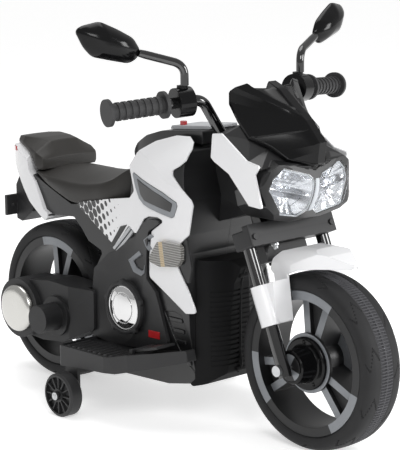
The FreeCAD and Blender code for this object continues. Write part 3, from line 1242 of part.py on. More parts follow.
def handlebar():
    points = bar_points()
    trimmed = points[0] + (points[1] - points[0]).normalize() * (GRIP_END_CAP + SEAT_GAP)
    mirror_trim = V(trimmed.x, -trimmed.y, trimmed.z)
    path = [trimmed] + points[1:-1] + [mirror_trim]
    return one_solid(bent_rod(path, BAR_BEND, BAR_RADIUS).cut(bent_rod(path, BAR_BEND, BAR_RADIUS - BAR_WALL)))


def upper_clamp():
    half = BAR_CLAMP_DEPTH / 2
    block = steer_box(-half, half, BAR_CLAMP_HALF, BAR_CLAMP_LOW, BAR_CLAMP_LOW + BAR_CLAMP_HEIGHT)
    block = block.makeFillet(SMALL_CORNER, block.Edges)
    points = bar_points()
    block = block.cut(rod(points[2], points[3], BAR_RADIUS + RUNNING_CLEARANCE))
    socket = steer_rod(0, 0, BAR_CLAMP_LOW - BUSH_LENGTH, BAR_CLAMP_LOW + BAR_CLAMP_HEIGHT / 4 + SEAT_GAP,
                       STEM_RADIUS + RUNNING_CLEARANCE)
    return one_solid(block.cut(socket))


def grip():
    points = bar_points()
    inward = (points[1] - points[0]).normalize()
    profile = [(0, 0), (GRIP_FLANGE_RADIUS, 0), (GRIP_FLANGE_RADIUS, GRIP_FLANGE)]
    run = GRIP_LENGTH - GRIP_FLANGE - GRIP_FLANGE
    step = run / (GRIP_RIBS * 2)
    for i in range(GRIP_RIBS * 2):
        r = GRIP_RADIUS - (GRIP_RIB_DEPTH if i % 2 else 0)
        profile.append((r, GRIP_FLANGE + i * step))
        profile.append((r, GRIP_FLANGE + (i + 1) * step))
    bore = BAR_RADIUS + RUNNING_CLEARANCE
    profile += [(GRIP_FLANGE_RADIUS, GRIP_LENGTH - GRIP_FLANGE), (GRIP_FLANGE_RADIUS, GRIP_LENGTH),
                (bore, GRIP_LENGTH), (bore, GRIP_END_CAP), (0, GRIP_END_CAP)]
    wire = Part.makePolygon([V(r, 0, s) for r, s in profile + profile[:1]])
    solid = Part.Face(wire).revolve(V(0, 0, 0), Z_AXIS, 360)
    solid.Placement = FreeCAD.Placement(points[0], FreeCAD.Rotation(Z_AXIS, inward))
    return solid


def mirror_base():
    place = bar_place(MIRROR_SIDE)
    return V(place.x, -MIRROR_SIDE, place.z)


def mirror_clamp():
    base = mirror_base()
    points = bar_points()
    along = (points[1] - points[0]).normalize()
    start = base - along * (MIRROR_CLAMP_LENGTH / 2)
    ring = rod(start, start + along * MIRROR_CLAMP_LENGTH, MIRROR_CLAMP_RADIUS)
    boss = rod(base, base + V(0, 0, MIRROR_BOSS_HEIGHT), MIRROR_BOSS_RADIUS)
    clamp = ring.fuse(boss)
    clamp = clamp.cut(rod(start - along * GRIP_LENGTH, start + along * GRIP_LENGTH,
                          BAR_RADIUS + RUNNING_CLEARANCE))
    socket = base + V(0, 0, MIRROR_BOSS_HEIGHT)
    clamp = clamp.cut(rod(socket - V(0, 0, MIRROR_STEM_SOCKET + SEAT_GAP), socket + V(0, 0, GRIP_LENGTH),
                          MIRROR_STEM_RADIUS + RUNNING_CLEARANCE))
    return one_solid(clamp)


def mirror_joint():
    base = mirror_base()
    rise = level(mirror_rise_share)
    return V(base.x - MIRROR_BACK, base.y - MIRROR_OUT, rise + MIRROR_UP)


def mirror_stem():
    base = mirror_base()
    rise = level(mirror_rise_share)
    foot = V(base.x, base.y, base.z + MIRROR_BOSS_HEIGHT - MIRROR_STEM_SOCKET)
    return one_solid(bent_rod([foot, V(base.x, base.y, rise), mirror_joint()], MIRROR_BEND,
                              MIRROR_STEM_RADIUS))


def mirror_frame():
    """Placement of the mirror head: its inner end at the stem tip, turned a little to the rider."""
    joint = mirror_joint()
    turn = FreeCAD.Rotation(Z_AXIS, -MIRROR_TURN)
    return FreeCAD.Placement(joint, turn)


def mirror_outline(shares, depth):
    return [V(depth, -y * MIRROR_LENGTH, (z - mirror_head_shares[0][1]) * MIRROR_TALL) for y, z in shares]


def mirror_head():
    rear = rounded_wire(mirror_outline(mirror_head_shares, 0), CORNER_RADIUS)
    middle = rounded_wire(mirror_outline(mirror_head_shares, MIRROR_DEPTH / 3), CORNER_RADIUS)
    front = rounded_wire(mirror_outline(mirror_back_shares, MIRROR_DEPTH), CORNER_RADIUS)
    head = Part.makeLoft([rear, middle], True, True).fuse(Part.makeLoft([middle, front], True, True))
    pocket = Part.Face(rear).makeOffset2D(-MIRROR_RIM).extrude(V(MIRROR_GLASS + SEAT_GAP, 0, 0))
    head = head.cut(pocket)
    head.Placement = mirror_frame()
    base = mirror_base()
    rise = level(mirror_rise_share)
    joint = mirror_joint()
    knee = V(base.x, base.y, rise)
    return one_solid(head.cut(rod(knee, joint, MIRROR_STEM_RADIUS + RUNNING_CLEARANCE)))


def mirror_glass():
    rear = rounded_wire(mirror_outline(mirror_head_shares, 0), CORNER_RADIUS)
    glass = Part.Face(rear).makeOffset2D(-MIRROR_RIM - SEAT_GAP).extrude(V(MIRROR_GLASS, 0, 0))
    glass.Placement = mirror_frame()
    return one_solid(glass)


def nose_half(move, inset):
    points = side(nose_shares)
    if inset > 0:
        form = inset_prism(points, -FAR, 0, CORNER_RADIUS, inset)
    else:
        form = side_prism(points, -FAR, 0, CORNER_RADIUS)
    plan = [(x - inset, y) for x, y in widths(nose_plan_shares, -inset)]
    front = [V(0, -y * BODY_HALF_WIDTH, level(z)) for y, z in nose_front_shares]
    front = front + [V(0, -p.y, p.z) for p in reversed(front[1:-1])]
    face = Part.Face(rounded_wire(front, CORNER_RADIUS))
    if inset > 0:
        face = face.makeOffset2D(-inset)
    form = form.common(face.extrude(V(FAR, 0, 0)))
    return form.common(plan_prism(plan)).translated(V(-move, 0, 0))


def lens_prism(grow):
    points = [V(0, -y * BODY_HALF_WIDTH, level(z)) for y, z in lens_shares]
    face = Part.Face(rounded_wire(points, SMALL_CORNER))
    if grow != 0:
        face = face.makeOffset2D(grow)
    return face.extrude(V(FAR, 0, 0))


def headlamp_lens():
    lens = lens_prism(0).common(nose_half(0, 0).cut(nose_half(LENS_WALL, 0)))
    pieces = one_solid(lens)
    return both(pieces)


def lug_foot():
    """Lower end of the lamp lugs, behind the fascia of the lower clamp."""
    rise = CLAMP_LOW + CLAMP_HEIGHT - LAMP_LUG_FOOT
    back = steer_point(CLAMP_FRONT - FASCIA_DEPTH - LAMP_LUG_WIDTH, 0, rise)
    front = steer_point(CLAMP_FRONT - FASCIA_DEPTH + LAMP_LUG_FOOT, 0, rise)
    return [(back.x, back.z), (front.x, front.z)]


def slope(length):
    """The way into the cover and the screen from their outer faces."""
    angle = math.radians(SCREEN_SLOPE)
    return V(-length * math.cos(angle), 0, -length * math.sin(angle))


def facet_skin(shares, facets, depth):
    """A wall made of flat three-cornered facets, each carried inward by the same step."""
    points = [V(x * BODY_LENGTH, -y * BODY_HALF_WIDTH, level(z)) for x, y, z in shares]
    pieces = []
    for corners in facets:
        wire = Part.makePolygon([points[i] for i in corners] + [points[corners[0]]])
        pieces.append(Part.Face(wire).extrude(slope(depth)))
    return pieces


def joined(pieces):
    return pieces[0].multiFuse(pieces[1:]).removeSplitter()


def screen_half(depth):
    return facet_skin(screen_shares, screen_facets, depth)


def screen_strips(depth):
    ridge = [V(x * BODY_LENGTH, -y * BODY_HALF_WIDTH, level(z)) for x, y, z in screen_shares[:SCREEN_RIDGE]]
    strips = []
    for upper, lower in zip(ridge, ridge[1:]):
        corners = [upper, lower, V(lower.x, -lower.y, lower.z), V(upper.x, -upper.y, upper.z)]
        strips.append(Part.Face(Part.makePolygon(corners + corners[:1])).extrude(slope(depth)))
    return strips


def windscreen():
    half = screen_half(SCREEN_WALL)
    return one_solid(joined(half + [mirrored(piece) for piece in half] + screen_strips(SCREEN_WALL)))


def screen_room():
    """The screen with the gap that the cover keeps behind it."""
    depth = SCREEN_WALL + SEAT_GAP
    return joined(screen_half(depth) + screen_strips(depth))


def headlamp_housing():
    shell = nose_half(0, 0).cut(nose_half(0, NOSE_WALL))
    shell = shell.cut(lens_prism(LENS_GAP))
    port = side_prism(side(nose_port_shares), -NOSE_PORT_HALF, 0, SMALL_CORNER)
    shell = shell.cut(port)
    cover = joined(facet_skin(cover_shares, cover_facets, COVER_WALL))
    shell = shell.fuse(cover.cut(nose_half(0, NOSE_WALL)).cut(lens_prism(LENS_GAP)))
    lug = side_prism(side(lamp_lug_shares) + lug_foot(), -LAMP_LUG_SIDE, -LAMP_LUG_SIDE + LAMP_LUG_WIDTH,
                     SMALL_CORNER / 2)
    bar = steer_box(-CLAMP_BACK, CLAMP_FRONT + SEAT_GAP, CLAMP_HALF, CLAMP_LOW - BRACE_DROP,
                    CLAMP_LOW + CLAMP_HEIGHT + SEAT_GAP)
    shell = shell.fuse(lug.cut(bar)).cut(fascia_box(SEAT_GAP)).cut(screen_room())
    return one_solid(shell.fuse(mirrored(shell)).removeSplitter())


def headlamp_reflector():
    room = nose_half(LENS_WALL + LENS_GAP, 0).common(nose_half(0, NOSE_WALL + LENS_GAP))
    dish = lens_prism(-LENS_GAP).common(room)
    back = box(reflector_back_share * BODY_LENGTH, FAR, -FAR, 0, 0, FAR)
    dish = dish.common(back)
    hollow = lens_prism(-LENS_GAP - REFLECTOR_WALL).common(nose_half(LENS_BACK, 0).fuse(
        nose_half(0, 0))).common(back.translated(V(REFLECTOR_WALL, 0, 0)))
    return both(one_solid(dish.cut(hollow)))


def cowl_wing():
    inner = SEAT_GAP - nose_half(0, 0).optimalBoundingBox(False, False).YMin
    return side_prism(side(cowl_wing_shares), -inner - COWL_WING_WALL, -inner, SMALL_CORNER)


def make_parts():
    shell = body_shell()
    panel = side_panel()
    arm = swing_arm(True)
    plain_arm = mirrored(swing_arm(False))
    stem = mirror_stem()
    head = mirror_head()
    glass = mirror_glass()
    roller = training_wheel()
    spars = [frame_spar(), side_fin()]
    spars = spars + [mirrored(piece) for piece in spars]
    return {
        "body_shell_right": shell, "body_shell_left": mirrored(shell),
        "side_panel_right": panel, "side_panel_left": mirrored(panel),
        "tank_cover": tank_cover(), "dash_panel": dash_panel(), "power_button": power_button(),
        "tank_trims": both(tank_trim()), "side_lamps": both(side_lamp()),
        "frame_spars": Part.makeCompound(spars), "engine_discs": both(engine_disc()),
        "seat_pad": seat_pad(), "pillion_pad": pillion_pad(), "tail_cowl": tail_cowl(),
        "tail_lamp": tail_lamp(), "plate_holder": plate_holder(), "radiator_block": radiator_block(),
        "front_tyre": tyre(FRONT_AXLE_X), "rear_tyre": tyre(REAR_AXLE_X),
        "front_rim": rim(FRONT_AXLE_X, FRONT_HUB_REACH, HUB_RADIUS - RIM_BARREL_WALL),
        "rear_rim": rim(REAR_AXLE_X, REAR_HUB_REACH, REAR_HUB_RADIUS),
        "drive_gear": drive_gear(), "idler_gear": idler_gear(), "motor_pinion": motor_pinion(),
        "motor": motor(), "swing_arm_right": arm, "swing_arm_left": plain_arm,
        "rear_axle": rear_axle(), "hub_caps": both(hub_cap()), "battery": battery(),
        "battery_lead": battery_lead(), "footrest_right": pedal_footrest(),
        "footrest_left": mirrored(footrest()), "accelerator_pedal": accelerator_pedal(),
        "training_brackets": both(training_bracket()), "training_wheel_right": roller,
        "training_wheel_left": mirrored(roller), "fork_tubes": both(fork_tube()),
        "lower_clamp": lower_clamp(), "clamp_screws": clamp_screws(), "steering_stem": steering_stem(),
        "steering_head": steering_head(), "steering_bushes": steering_bushes(),
        "front_axle": front_axle(), "front_fender": front_fender(), "handlebar": handlebar(),
        "upper_clamp": upper_clamp(), "grips": both(grip()), "mirror_clamps": both(mirror_clamp()),
        "mirror_stem_right": stem, "mirror_stem_left": mirrored(stem),
        "mirror_head_right": head, "mirror_head_left": mirrored(head),
        "mirror_glass_right": glass, "mirror_glass_left": mirrored(glass),
        "headlamp_housing": headlamp_housing(), "headlamp_lens": headlamp_lens(),
        "headlamp_reflector": headlamp_reflector(), "cowl_wings": both(cowl_wing()),
        "windscreen": windscreen(),
    }


os.makedirs("parts", exist_ok=True)
for name, shape in make_parts().items():
    shape.exportStep("parts/" + name + ".step")
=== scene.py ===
import bmesh
import bpy
import math
import numpy as np
from mathutils import Matrix, Vector


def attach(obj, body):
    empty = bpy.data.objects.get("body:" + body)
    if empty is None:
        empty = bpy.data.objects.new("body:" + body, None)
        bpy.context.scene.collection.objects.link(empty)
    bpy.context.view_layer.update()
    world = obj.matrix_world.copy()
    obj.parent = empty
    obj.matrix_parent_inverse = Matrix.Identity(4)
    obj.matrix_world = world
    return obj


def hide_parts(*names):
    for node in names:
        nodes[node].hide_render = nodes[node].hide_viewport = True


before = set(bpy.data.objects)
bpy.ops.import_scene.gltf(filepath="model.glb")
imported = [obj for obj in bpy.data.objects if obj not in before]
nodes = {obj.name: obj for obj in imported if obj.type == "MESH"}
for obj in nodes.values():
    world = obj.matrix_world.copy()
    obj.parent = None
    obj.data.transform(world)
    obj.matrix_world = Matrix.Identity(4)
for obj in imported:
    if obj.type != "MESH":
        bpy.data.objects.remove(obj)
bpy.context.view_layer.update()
scene = bpy.context.scene
scene.view_settings.view_transform = 'Standard'


# Colour and material helpers. A source is a (node, output) pair.

MM = 1000  # millimetres in a metre
MIX_LOW, MIX_HIGH, MIX_RESULT = 6, 7, 2  # colour sockets of a Mix node
BEVEL_SAMPLES = 6


def linear(code):
    """sRGB hex code to linear red, green, blue and alpha 1."""
    raw = [int(code[i:i + 2], 16) / 255 for i in (1, 3, 5)]
    return tuple(c / 12.92 if c <= 0.04045 else ((c + 0.055) / 1.055) ** 2.4 for c in raw) + (1.0,)


def feed(tree, source, target, socket):
    """Links a source to one input of a node."""
    tree.links.new(source[0].outputs[source[1]], target.inputs[socket])


def add_node(tree, kind, settings=None, links=None):
    """Adds a node, sets its named values or sockets, and links its inputs from sources."""
    made = tree.nodes.new(kind)
    for key, value in (settings or {}).items():
        if isinstance(key, str) and hasattr(made, key):
            setattr(made, key, value)
        else:
            made.inputs[key].default_value = value
    for key, source in (links or {}).items():
        feed(tree, source, made, key)
    return made


def calc(tree, operation, *terms):
    """Source of one math operation on terms, each a number or a source."""
    made = add_node(tree, "ShaderNodeMath", {"operation": operation})
    for socket, term in enumerate(terms):
        if isinstance(term, tuple):
            feed(tree, term, made, socket)
        else:
            made.inputs[socket].default_value = term
    return made, 0


def blend(tree, factor, low, high):
    """Source of a colour from low to high, each a hex code or a source, steered by a source."""
    made = add_node(tree, "ShaderNodeMix", {"data_type": 'RGBA'}, {0: factor})
    for socket, colour in ((MIX_LOW, low), (MIX_HIGH, high)):
        if isinstance(colour, tuple):
            feed(tree, colour, made, socket)
        else:
            made.inputs[socket].default_value = linear(colour)
    return made, MIX_RESULT


def ramp(tree, source, span, levels=(0.0, 1.0), **settings):
    """Source that carries one span of values over to two levels."""
    values = dict(zip((1, 2, 3, 4), (*span, *levels)))
    return add_node(tree, "ShaderNodeMapRange", {**settings, **values}, {0: source}), 0


def noise(tree, place, size_mm, **settings):
    """Source of noise in object space, its features about size_mm across."""
    return add_node(tree, "ShaderNodeTexNoise", {"Scale": MM / size_mm, **settings},
                    {"Vector": (place, "Object")}), 0


def split(tree, source):
    """Node that gives a vector's X, Y and Z."""
    return add_node(tree, "ShaderNodeSeparateXYZ", None, {0: source})


def new_material(name, settings):
    """A material with one Principled shader, whose sockets take the settings."""
    material = bpy.data.materials.new(name)
    material.use_nodes = True
    tree = material.node_tree
    shader = tree.nodes["Principled BSDF"]
    for key, value in settings.items():
        shader.inputs[key].default_value = value
    return material, tree, shader


def emboss(tree, shader, height, strength, depth_mm, round_mm):
    """Feeds the shader a bump from a height source, over edges rounded by round_mm."""
    edge = add_node(tree, "ShaderNodeBevel", {"samples": BEVEL_SAMPLES, "Radius": round_mm / MM})
    bump = add_node(tree, "ShaderNodeBump", {"Strength": strength, "Distance": depth_mm / MM},
                    {"Height": height, "Normal": (edge, 0)})
    feed(tree, (bump, 0), shader, "Normal")


CONVEX_SPAN, CONVEX_LEVELS = (0.53, 0.62), (0.0, 0.5)
PALE_BAND_FADE, PALE_BAND_LEVELS = 0.002, (0.8, 0.0)


def finished(name, settings, low, high, drift_mm, grain_mm, depth_mm, round_mm, edge_tone=None,
             pale_band=None):
    """Surface with tone drift between two hex colours, grain as bump, rounded edges, sharp convex
    edges drawn toward the edge colour, and, for a band given as (metres, hex code), a band of
    that colour where the piece is nearer to the middle plane than that."""
    material, tree, shader = new_material(name, settings)
    place = add_node(tree, "ShaderNodeTexCoord")
    colour = blend(tree, noise(tree, place, drift_mm, Detail=4.0, Roughness=0.6), low, high)
    # Sharp convex edges, found by pointiness, are drawn toward the paler edge colour.
    if edge_tone:
        shape = add_node(tree, "ShaderNodeNewGeometry")
        convex_edges = ramp(tree, (shape, "Pointiness"), CONVEX_SPAN, CONVEX_LEVELS)
        colour = blend(tree, convex_edges, colour, edge_tone)
    # A band near the middle plane, on the tyres their tread crown, is drawn toward a paler colour.
    if pale_band:
        half, band_colour = pale_band
        out = calc(tree, 'ABSOLUTE', (split(tree, (place, "Object")), "Y"))
        colour = blend(tree, ramp(tree, out, (half, half + PALE_BAND_FADE), PALE_BAND_LEVELS), colour, band_colour)
    feed(tree, colour, shader, "Base Color")
    emboss(tree, shader, noise(tree, place, grain_mm, Detail=3.0), 0.4, depth_mm, round_mm)
    return material


# Polypropylene from a spark-eroded mould: charcoal, fine grain, soft sheen, sharp convex edges
# paler.
black_pp = finished(
    "polypropylene_black_grained", {"Roughness": 0.46, "IOR": 1.49, "Specular IOR Level": 0.32},
    "#1e1e1f", "#272728", 60, 1.1, 0.06, 1.2, "#3a3a3b")
# Polypropylene from a smoother mould for the shells and covers: darker, with a clearer sheen.
smooth_pp = finished(
    "polypropylene_black_satin", {"Roughness": 0.3, "IOR": 1.49, "Specular IOR Level": 0.5},
    "#131314", "#19191a", 80, 2.5, 0.03, 1.5, "#2c2c2d")
# The same polypropylene on the ribbed front cover, kept dull by fine spark-erosion grain.
dull_pp = finished(
    "polypropylene_black_dull", {"Roughness": 0.6, "IOR": 1.49, "Specular IOR Level": 0.15},
    "#0e0e0f", "#131314", 80, 0.8, 0.04, 1.2, "#1d1d1e")
# ABS from a polished mould, black: deep tone, clear highlights, faint moulding waviness.
gloss_black = finished(
    "abs_black_polished", {"Roughness": 0.16, "IOR": 1.52, "Specular IOR Level": 0.2},
    "#0a0a0b", "#0e0e0f", 70, 14.0, 0.03, 1.2)
# Steel tube with black stoved enamel: deep gloss and slight orange peel, 4 mm across.
enamel_black = finished(
    "enamel_black_on_steel", {"Roughness": 0.06, "IOR": 1.5, "Specular IOR Level": 1.0},
    "#0a0a0b", "#0f0f10", 50, 4.0, 0.02, 0.6)
# ABS from a polished mould, white: near white, glossy, with very slight drift.
WHITE_GLOSS = {"Roughness": 0.2, "IOR": 1.52, "Coat Weight": 0.3, "Coat Roughness": 0.05}
WHITE_TONES = ("#ececee", "#f3f3f4")
white_abs = finished("abs_white_polished", WHITE_GLOSS, *WHITE_TONES, 90, 9.0, 0.02, 1.6)
# Silver-grey lacquer on ABS: fine metal flake, satin.
silver_lacquer = finished(
    "lacquer_silver_on_abs", {"Roughness": 0.36, "Metallic": 0.35, "IOR": 1.5},
    "#7d8084", "#8e9195", 30, 0.7, 0.02, 0.9)
# Light grey satin ABS of the dash and strips.
pale_grey_abs = finished(
    "abs_pale_grey_satin", {"Roughness": 0.4, "IOR": 1.5},
    "#b4b6b9", "#c2c4c6", 40, 1.5, 0.03, 0.7)
# Vacuum-plated chrome on ABS: mirror bright, faint waviness 12 mm across.
chrome = finished(
    "chrome_plated_abs", {"Roughness": 0.05, "Metallic": 1.0},
    "#c8c8c8", "#d6d6d6", 35, 12.0, 0.05, 0.7)
# Chrome of the headlamp bowls: the same plating, slightly hazy behind its lens.
lamp_chrome = finished(
    "chrome_hazy_in_lamp", {"Roughness": 0.22, "Metallic": 1.0},
    "#b3b5b9", "#c4c6c9", 25, 10.0, 0.04, 0.6)
# Satin chrome of the hub caps: same plating over a finely textured moulding.
satin_chrome = finished(
    "chrome_satin_on_abs", {"Roughness": 0.24, "Metallic": 1.0},
    "#bdbcb8", "#c9c8c4", 30, 1.2, 0.02, 1.0)
# Zinc-plated steel of bolts and pins: bright with a faint brushed mottle.
zinc_steel = finished(
    "steel_zinc_plated", {"Roughness": 0.3, "Metallic": 1.0},
    "#a9abad", "#c3c4c5", 4, 0.8, 0.02, 0.4)
# Blow-moulded tyre in rubbery EVA: dull charcoal, paler on sharp convex edges and along the tread
# band.
tyre_rubber = finished(
    "eva_rubber_tyre", {"Roughness": 0.62, "IOR": 1.5, "Specular IOR Level": 0.25},
    "#212122", "#2a2a2b", 25, 0.9, 0.12, 0.4, "#3d3d3e", (0.0125, "#505053"))
# Moulded grip rubber: soft matte, very fine grain.
grip_rubber = finished(
    "rubber_grip_matte", {"Roughness": 0.6, "IOR": 1.5},
    "#232324", "#2b2b2c", 18, 0.7, 0.08, 0.8, "#3b3b3c")
# Seat mouldings in satin polyethylene with a leather-like grain, slightly warm charcoal.
seat_shell = finished(
    "polyethylene_seat_satin", {"Roughness": 0.42, "IOR": 1.5, "Specular IOR Level": 0.3},
    "#2b2a28", "#363432", 45, 1.8, 0.12, 2.0, "#413e3b")
# Hard plastic rollers of the training wheels, matte.
roller_pp = finished(
    "polypropylene_roller_matte", {"Roughness": 0.5, "IOR": 1.49},
    "#1a1a1b", "#222223", 20, 1.0, 0.06, 0.8, "#343435")
# Natural nylon of gears and bushes: milky and slightly waxy.
nylon_natural = finished(
    "nylon_natural", {"Roughness": 0.42, "IOR": 1.53, "Subsurface Weight": 0.1},
    "#d8d3c4", "#e4dfd2", 12, 1.0, 0.03, 0.3)
# Battery case, matte dark ABS.
battery_abs = finished(
    "abs_battery_case", {"Roughness": 0.5, "IOR": 1.5},
    "#2a2b2f", "#34353a", 30, 1.2, 0.05, 0.6)
# Sheath of the battery lead, soft vinyl.
lead_vinyl = finished(
    "vinyl_lead_sheath", {"Roughness": 0.5, "IOR": 1.5},
    "#141415", "#1c1c1d", 10, 0.8, 0.03, 0.3)
# Red acrylic of button, tiles and tail lamp, coloured through, with a wet gloss.
red_acrylic = finished(
    "acrylic_red_gloss", {"Roughness": 0.15, "IOR": 1.49, "Coat Weight": 0.5},
    "#a8181c", "#c0262a", 10, 6.0, 0.03, 0.6)
# Mirror film on ABS.
mirror_film = finished(
    "mirror_film_silvered", {"Roughness": 0.02, "Metallic": 1.0},
    "#cfd2d6", "#d8dade", 60, 20.0, 0.01, 0.3)


# Mesh helpers: every new piece is one or more grids of points worked out with numpy, in mm

def spline(knots, values, at):
    """Smooth curve through (knot, value) pairs: Hermite pieces with central-difference slopes."""
    knots = np.asarray(knots, float)
    values = np.asarray(values, float)
    slopes = np.gradient(values, knots)
    at = np.clip(np.asarray(at, float), knots[0], knots[-1])
    i = np.clip(np.searchsorted(knots, at) - 1, 0, len(knots) - 2)
    step = knots[i + 1] - knots[i]
    t = (at - knots[i]) / step
    return ((2 * t**3 - 3 * t**2 + 1) * values[i] + (t**3 - 2 * t**2 + t) * step * slopes[i]
            + (3 * t**2 - 2 * t**3) * values[i + 1] + (t**3 - t**2) * step * slopes[i + 1])


def straight(knots, values, at):
    """Straight runs through (knot, value) pairs."""
    return np.interp(at, knots, values)


def piece(name, grids, body, finish, sharp=35, stands_for=()):
    """One object from grids of points, each (points, closed over rows, closed over columns), with
    edges kept sharp from an angle in degrees, in place of the nodes that it stands for."""
    corners, faces, count = [], [], 0
    for points, over_rows, over_columns in grids:
        rows, columns = points.shape[:2]
        index = np.arange(rows * columns).reshape(rows, columns) + count
        count += rows * columns
        if over_rows:
            index = np.concatenate([index, index[:1]], 0)
        if over_columns:
            index = np.concatenate([index, index[:, :1]], 1)
        quads = np.stack([index[:-1, :-1], index[1:, :-1], index[1:, 1:], index[:-1, 1:]], -1)
        corners.append(points.reshape(-1, 3))
        faces.append(quads.reshape(-1, 4))
    mesh = bpy.data.meshes.new(name)
    mesh.from_pydata((np.concatenate(corners) / MM).tolist(), [], np.concatenate(faces).tolist())
    work = bmesh.new()
    work.from_mesh(mesh)
    bmesh.ops.remove_doubles(work, verts=work.verts, dist=1e-6)
    bmesh.ops.recalc_face_normals(work, faces=work.faces)
    work.to_mesh(mesh)
    work.free()
    mesh.polygons.foreach_set("use_smooth", np.ones(len(mesh.polygons), bool))
    mesh.set_sharp_from_angle(angle=math.radians(sharp))
    mesh.materials.append(finish)
    made = bpy.data.objects.new(name, mesh)
    scene.collection.objects.link(made)
    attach(made, body)
    if stands_for:
        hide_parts(*stands_for)


def flipped(grids):
    """Images of grids across the middle plane."""
    return [(points * [1, -1, 1], rows, columns) for points, rows, columns in grids]


def mirrored(grids):
    """The same grids with their images across the middle plane."""
    return grids + flipped(grids)


def capped(sections):
    """Closed sections (stations, points, xyz) with each end drawn to its middle point."""
    first = np.repeat(sections[:1].mean(1, keepdims=True), sections.shape[1], 1)
    last = np.repeat(sections[-1:].mean(1, keepdims=True), sections.shape[1], 1)
    return np.concatenate([first, sections, last], 0), False, True


def turn_angles(count):
    """Equal angles round one turn."""
    return np.linspace(0, 2 * np.pi, count, endpoint=False)


def around(axle, radius, along, angle):
    """Points at a radius and angle about a Y axis through axle = (x, z)."""
    return np.stack([axle[0] + radius * np.cos(angle), along + 0 * angle,
                     axle[1] + radius * np.sin(angle)], -1)


def turned(profile, axle, count=96):
    """Profile of (radius, y) pairs carried round a Y axis through axle = (x, z)."""
    profile = np.asarray(profile, float)
    return around(axle, profile[:, :1], profile[:, 1:], turn_angles(count)), False, True


def outward(axle, out, wide, deep, angle):
    """Sections carried outward from an axle at one angle: distance out, breadth across, y."""
    x = axle[0] + out * math.cos(angle) - wide * math.sin(angle)
    z = axle[1] + out * math.sin(angle) + wide * math.cos(angle)
    return capped(np.stack([x, deep + 0 * out, z], -1))


def lengths(path):
    """Length of a path up to each of its points."""
    return np.concatenate([[0], np.cumsum(np.linalg.norm(np.diff(path, axis=0), axis=1))])


def at_lengths(path, run, at):
    """Points of a path where its running length, or share, is as given."""
    return np.stack([np.interp(at, run, values) for values in path.T], -1)


def along_edges(outline, count):
    """Points spread evenly along a closed outline, corners eased by the even step."""
    outline = np.asarray(outline, float)
    ring = np.concatenate([outline, outline[:1]])
    run = lengths(ring)
    at = np.linspace(0, run[-1], count, endpoint=False)
    return at_lengths(ring, run, at)


def tube(path, radius, count=12):
    """Round section carried along a closed path, square to its direction."""
    ahead = np.roll(path, -1, 0) - np.roll(path, 1, 0)
    ahead /= np.linalg.norm(ahead, axis=1, keepdims=True)
    side = np.cross(ahead, [0.3, 1.0, 0.2])
    side /= np.linalg.norm(side, axis=1, keepdims=True)
    up = np.cross(side, ahead)
    angle = turn_angles(count)[:, None]
    ring = np.cos(angle) * side[:, None] + np.sin(angle) * up[:, None]
    return path[:, None] + radius * ring, True, True


PLAN = ((-420, 60), (-320, 74), (-250, 79), (-120, 80), (-45, 84), (20, 98), (80, 108), (150, 106),
        (260, 96))
SECTION = ((20, 50), (60, 63), (120, 82), (200, 90), (290, 102), (350, 109), (400, 110), (440, 102),
           (470, 84), (490, 62), (512, 34))
TAIL_PLAN = ((-450, 14), (-424, 36), (-370, 62), (-305, 78), (-275, 82))


def skin(x, z):
    """Half width of the bodywork at (x, z): the lesser of the plan curve and the section curve."""
    return np.minimum(spline(*zip(*PLAN), x), spline(*zip(*SECTION), z))


def tail_skin(x, z):
    """Half width of the tail at (x, z): its own plan curve, the same at every height."""
    return spline(*zip(*TAIL_PLAN), x) + 0 * z


def skin_plate(outline, low, high, rings=8, count=72, half_width=skin):
    """Plate on the right flank: rings from the middle of an (x, z) outline, lifted off the half
    width by low to high."""
    edge = along_edges(outline, count)
    middle = edge.mean(0)
    share = np.linspace(0, 1, rings)[:, None, None]
    flat = middle + share * (edge - middle)
    flat = np.concatenate([flat, flat[::-1]])
    lift = np.repeat([high, low], rings)[:, None]
    width = half_width(flat[..., 0], flat[..., 1]) + lift
    return np.stack([flat[..., 0], -width, flat[..., 1]], -1), False, True


# Tyres: section from bead over sidewall and crown to the other bead, with tread and grooves

FRONT_AXLE = (318.919, 145.0)
REAR_AXLE = (-319.02, 145.0)
TYRE_R = np.array([119.6, 121.0, 125.0, 130.0, 135.5, 139.5, 142.6, 144.2, 144.95])
TYRE_Y = np.array([36.6, 38.8, 39.9, 40.0, 38.4, 35.0, 28.5, 17.0, 0.0])
BORE_R, BORE_Y = (121.5, 122.0, 121.5), (34.0, 0.0, -34.0)
SECTION_STEPS = 76
TREAD_BARS, STEPS_PER_BAR, BAR_GAP, BAR_DEPTH = 175, 6, 0.45, 2.6
BAND_FROM, BAND_TO = 1.2, 12.5
GROOVE_TO, GROOVE_DEPTH = 14.5, 0.9
BOLTS, BOLT_FROM, BOLT_TO, BOLT_RUN = 11, 16.0, 40.0, 34.0
BOLT_HALF, BOLT_DEPTH, BOLT_END = 0.024, 1.8, 0.8
ZIGZAGS, ZIGZAG_SWING, SIDE_SHIFT = 1.7, 0.7, 0.2


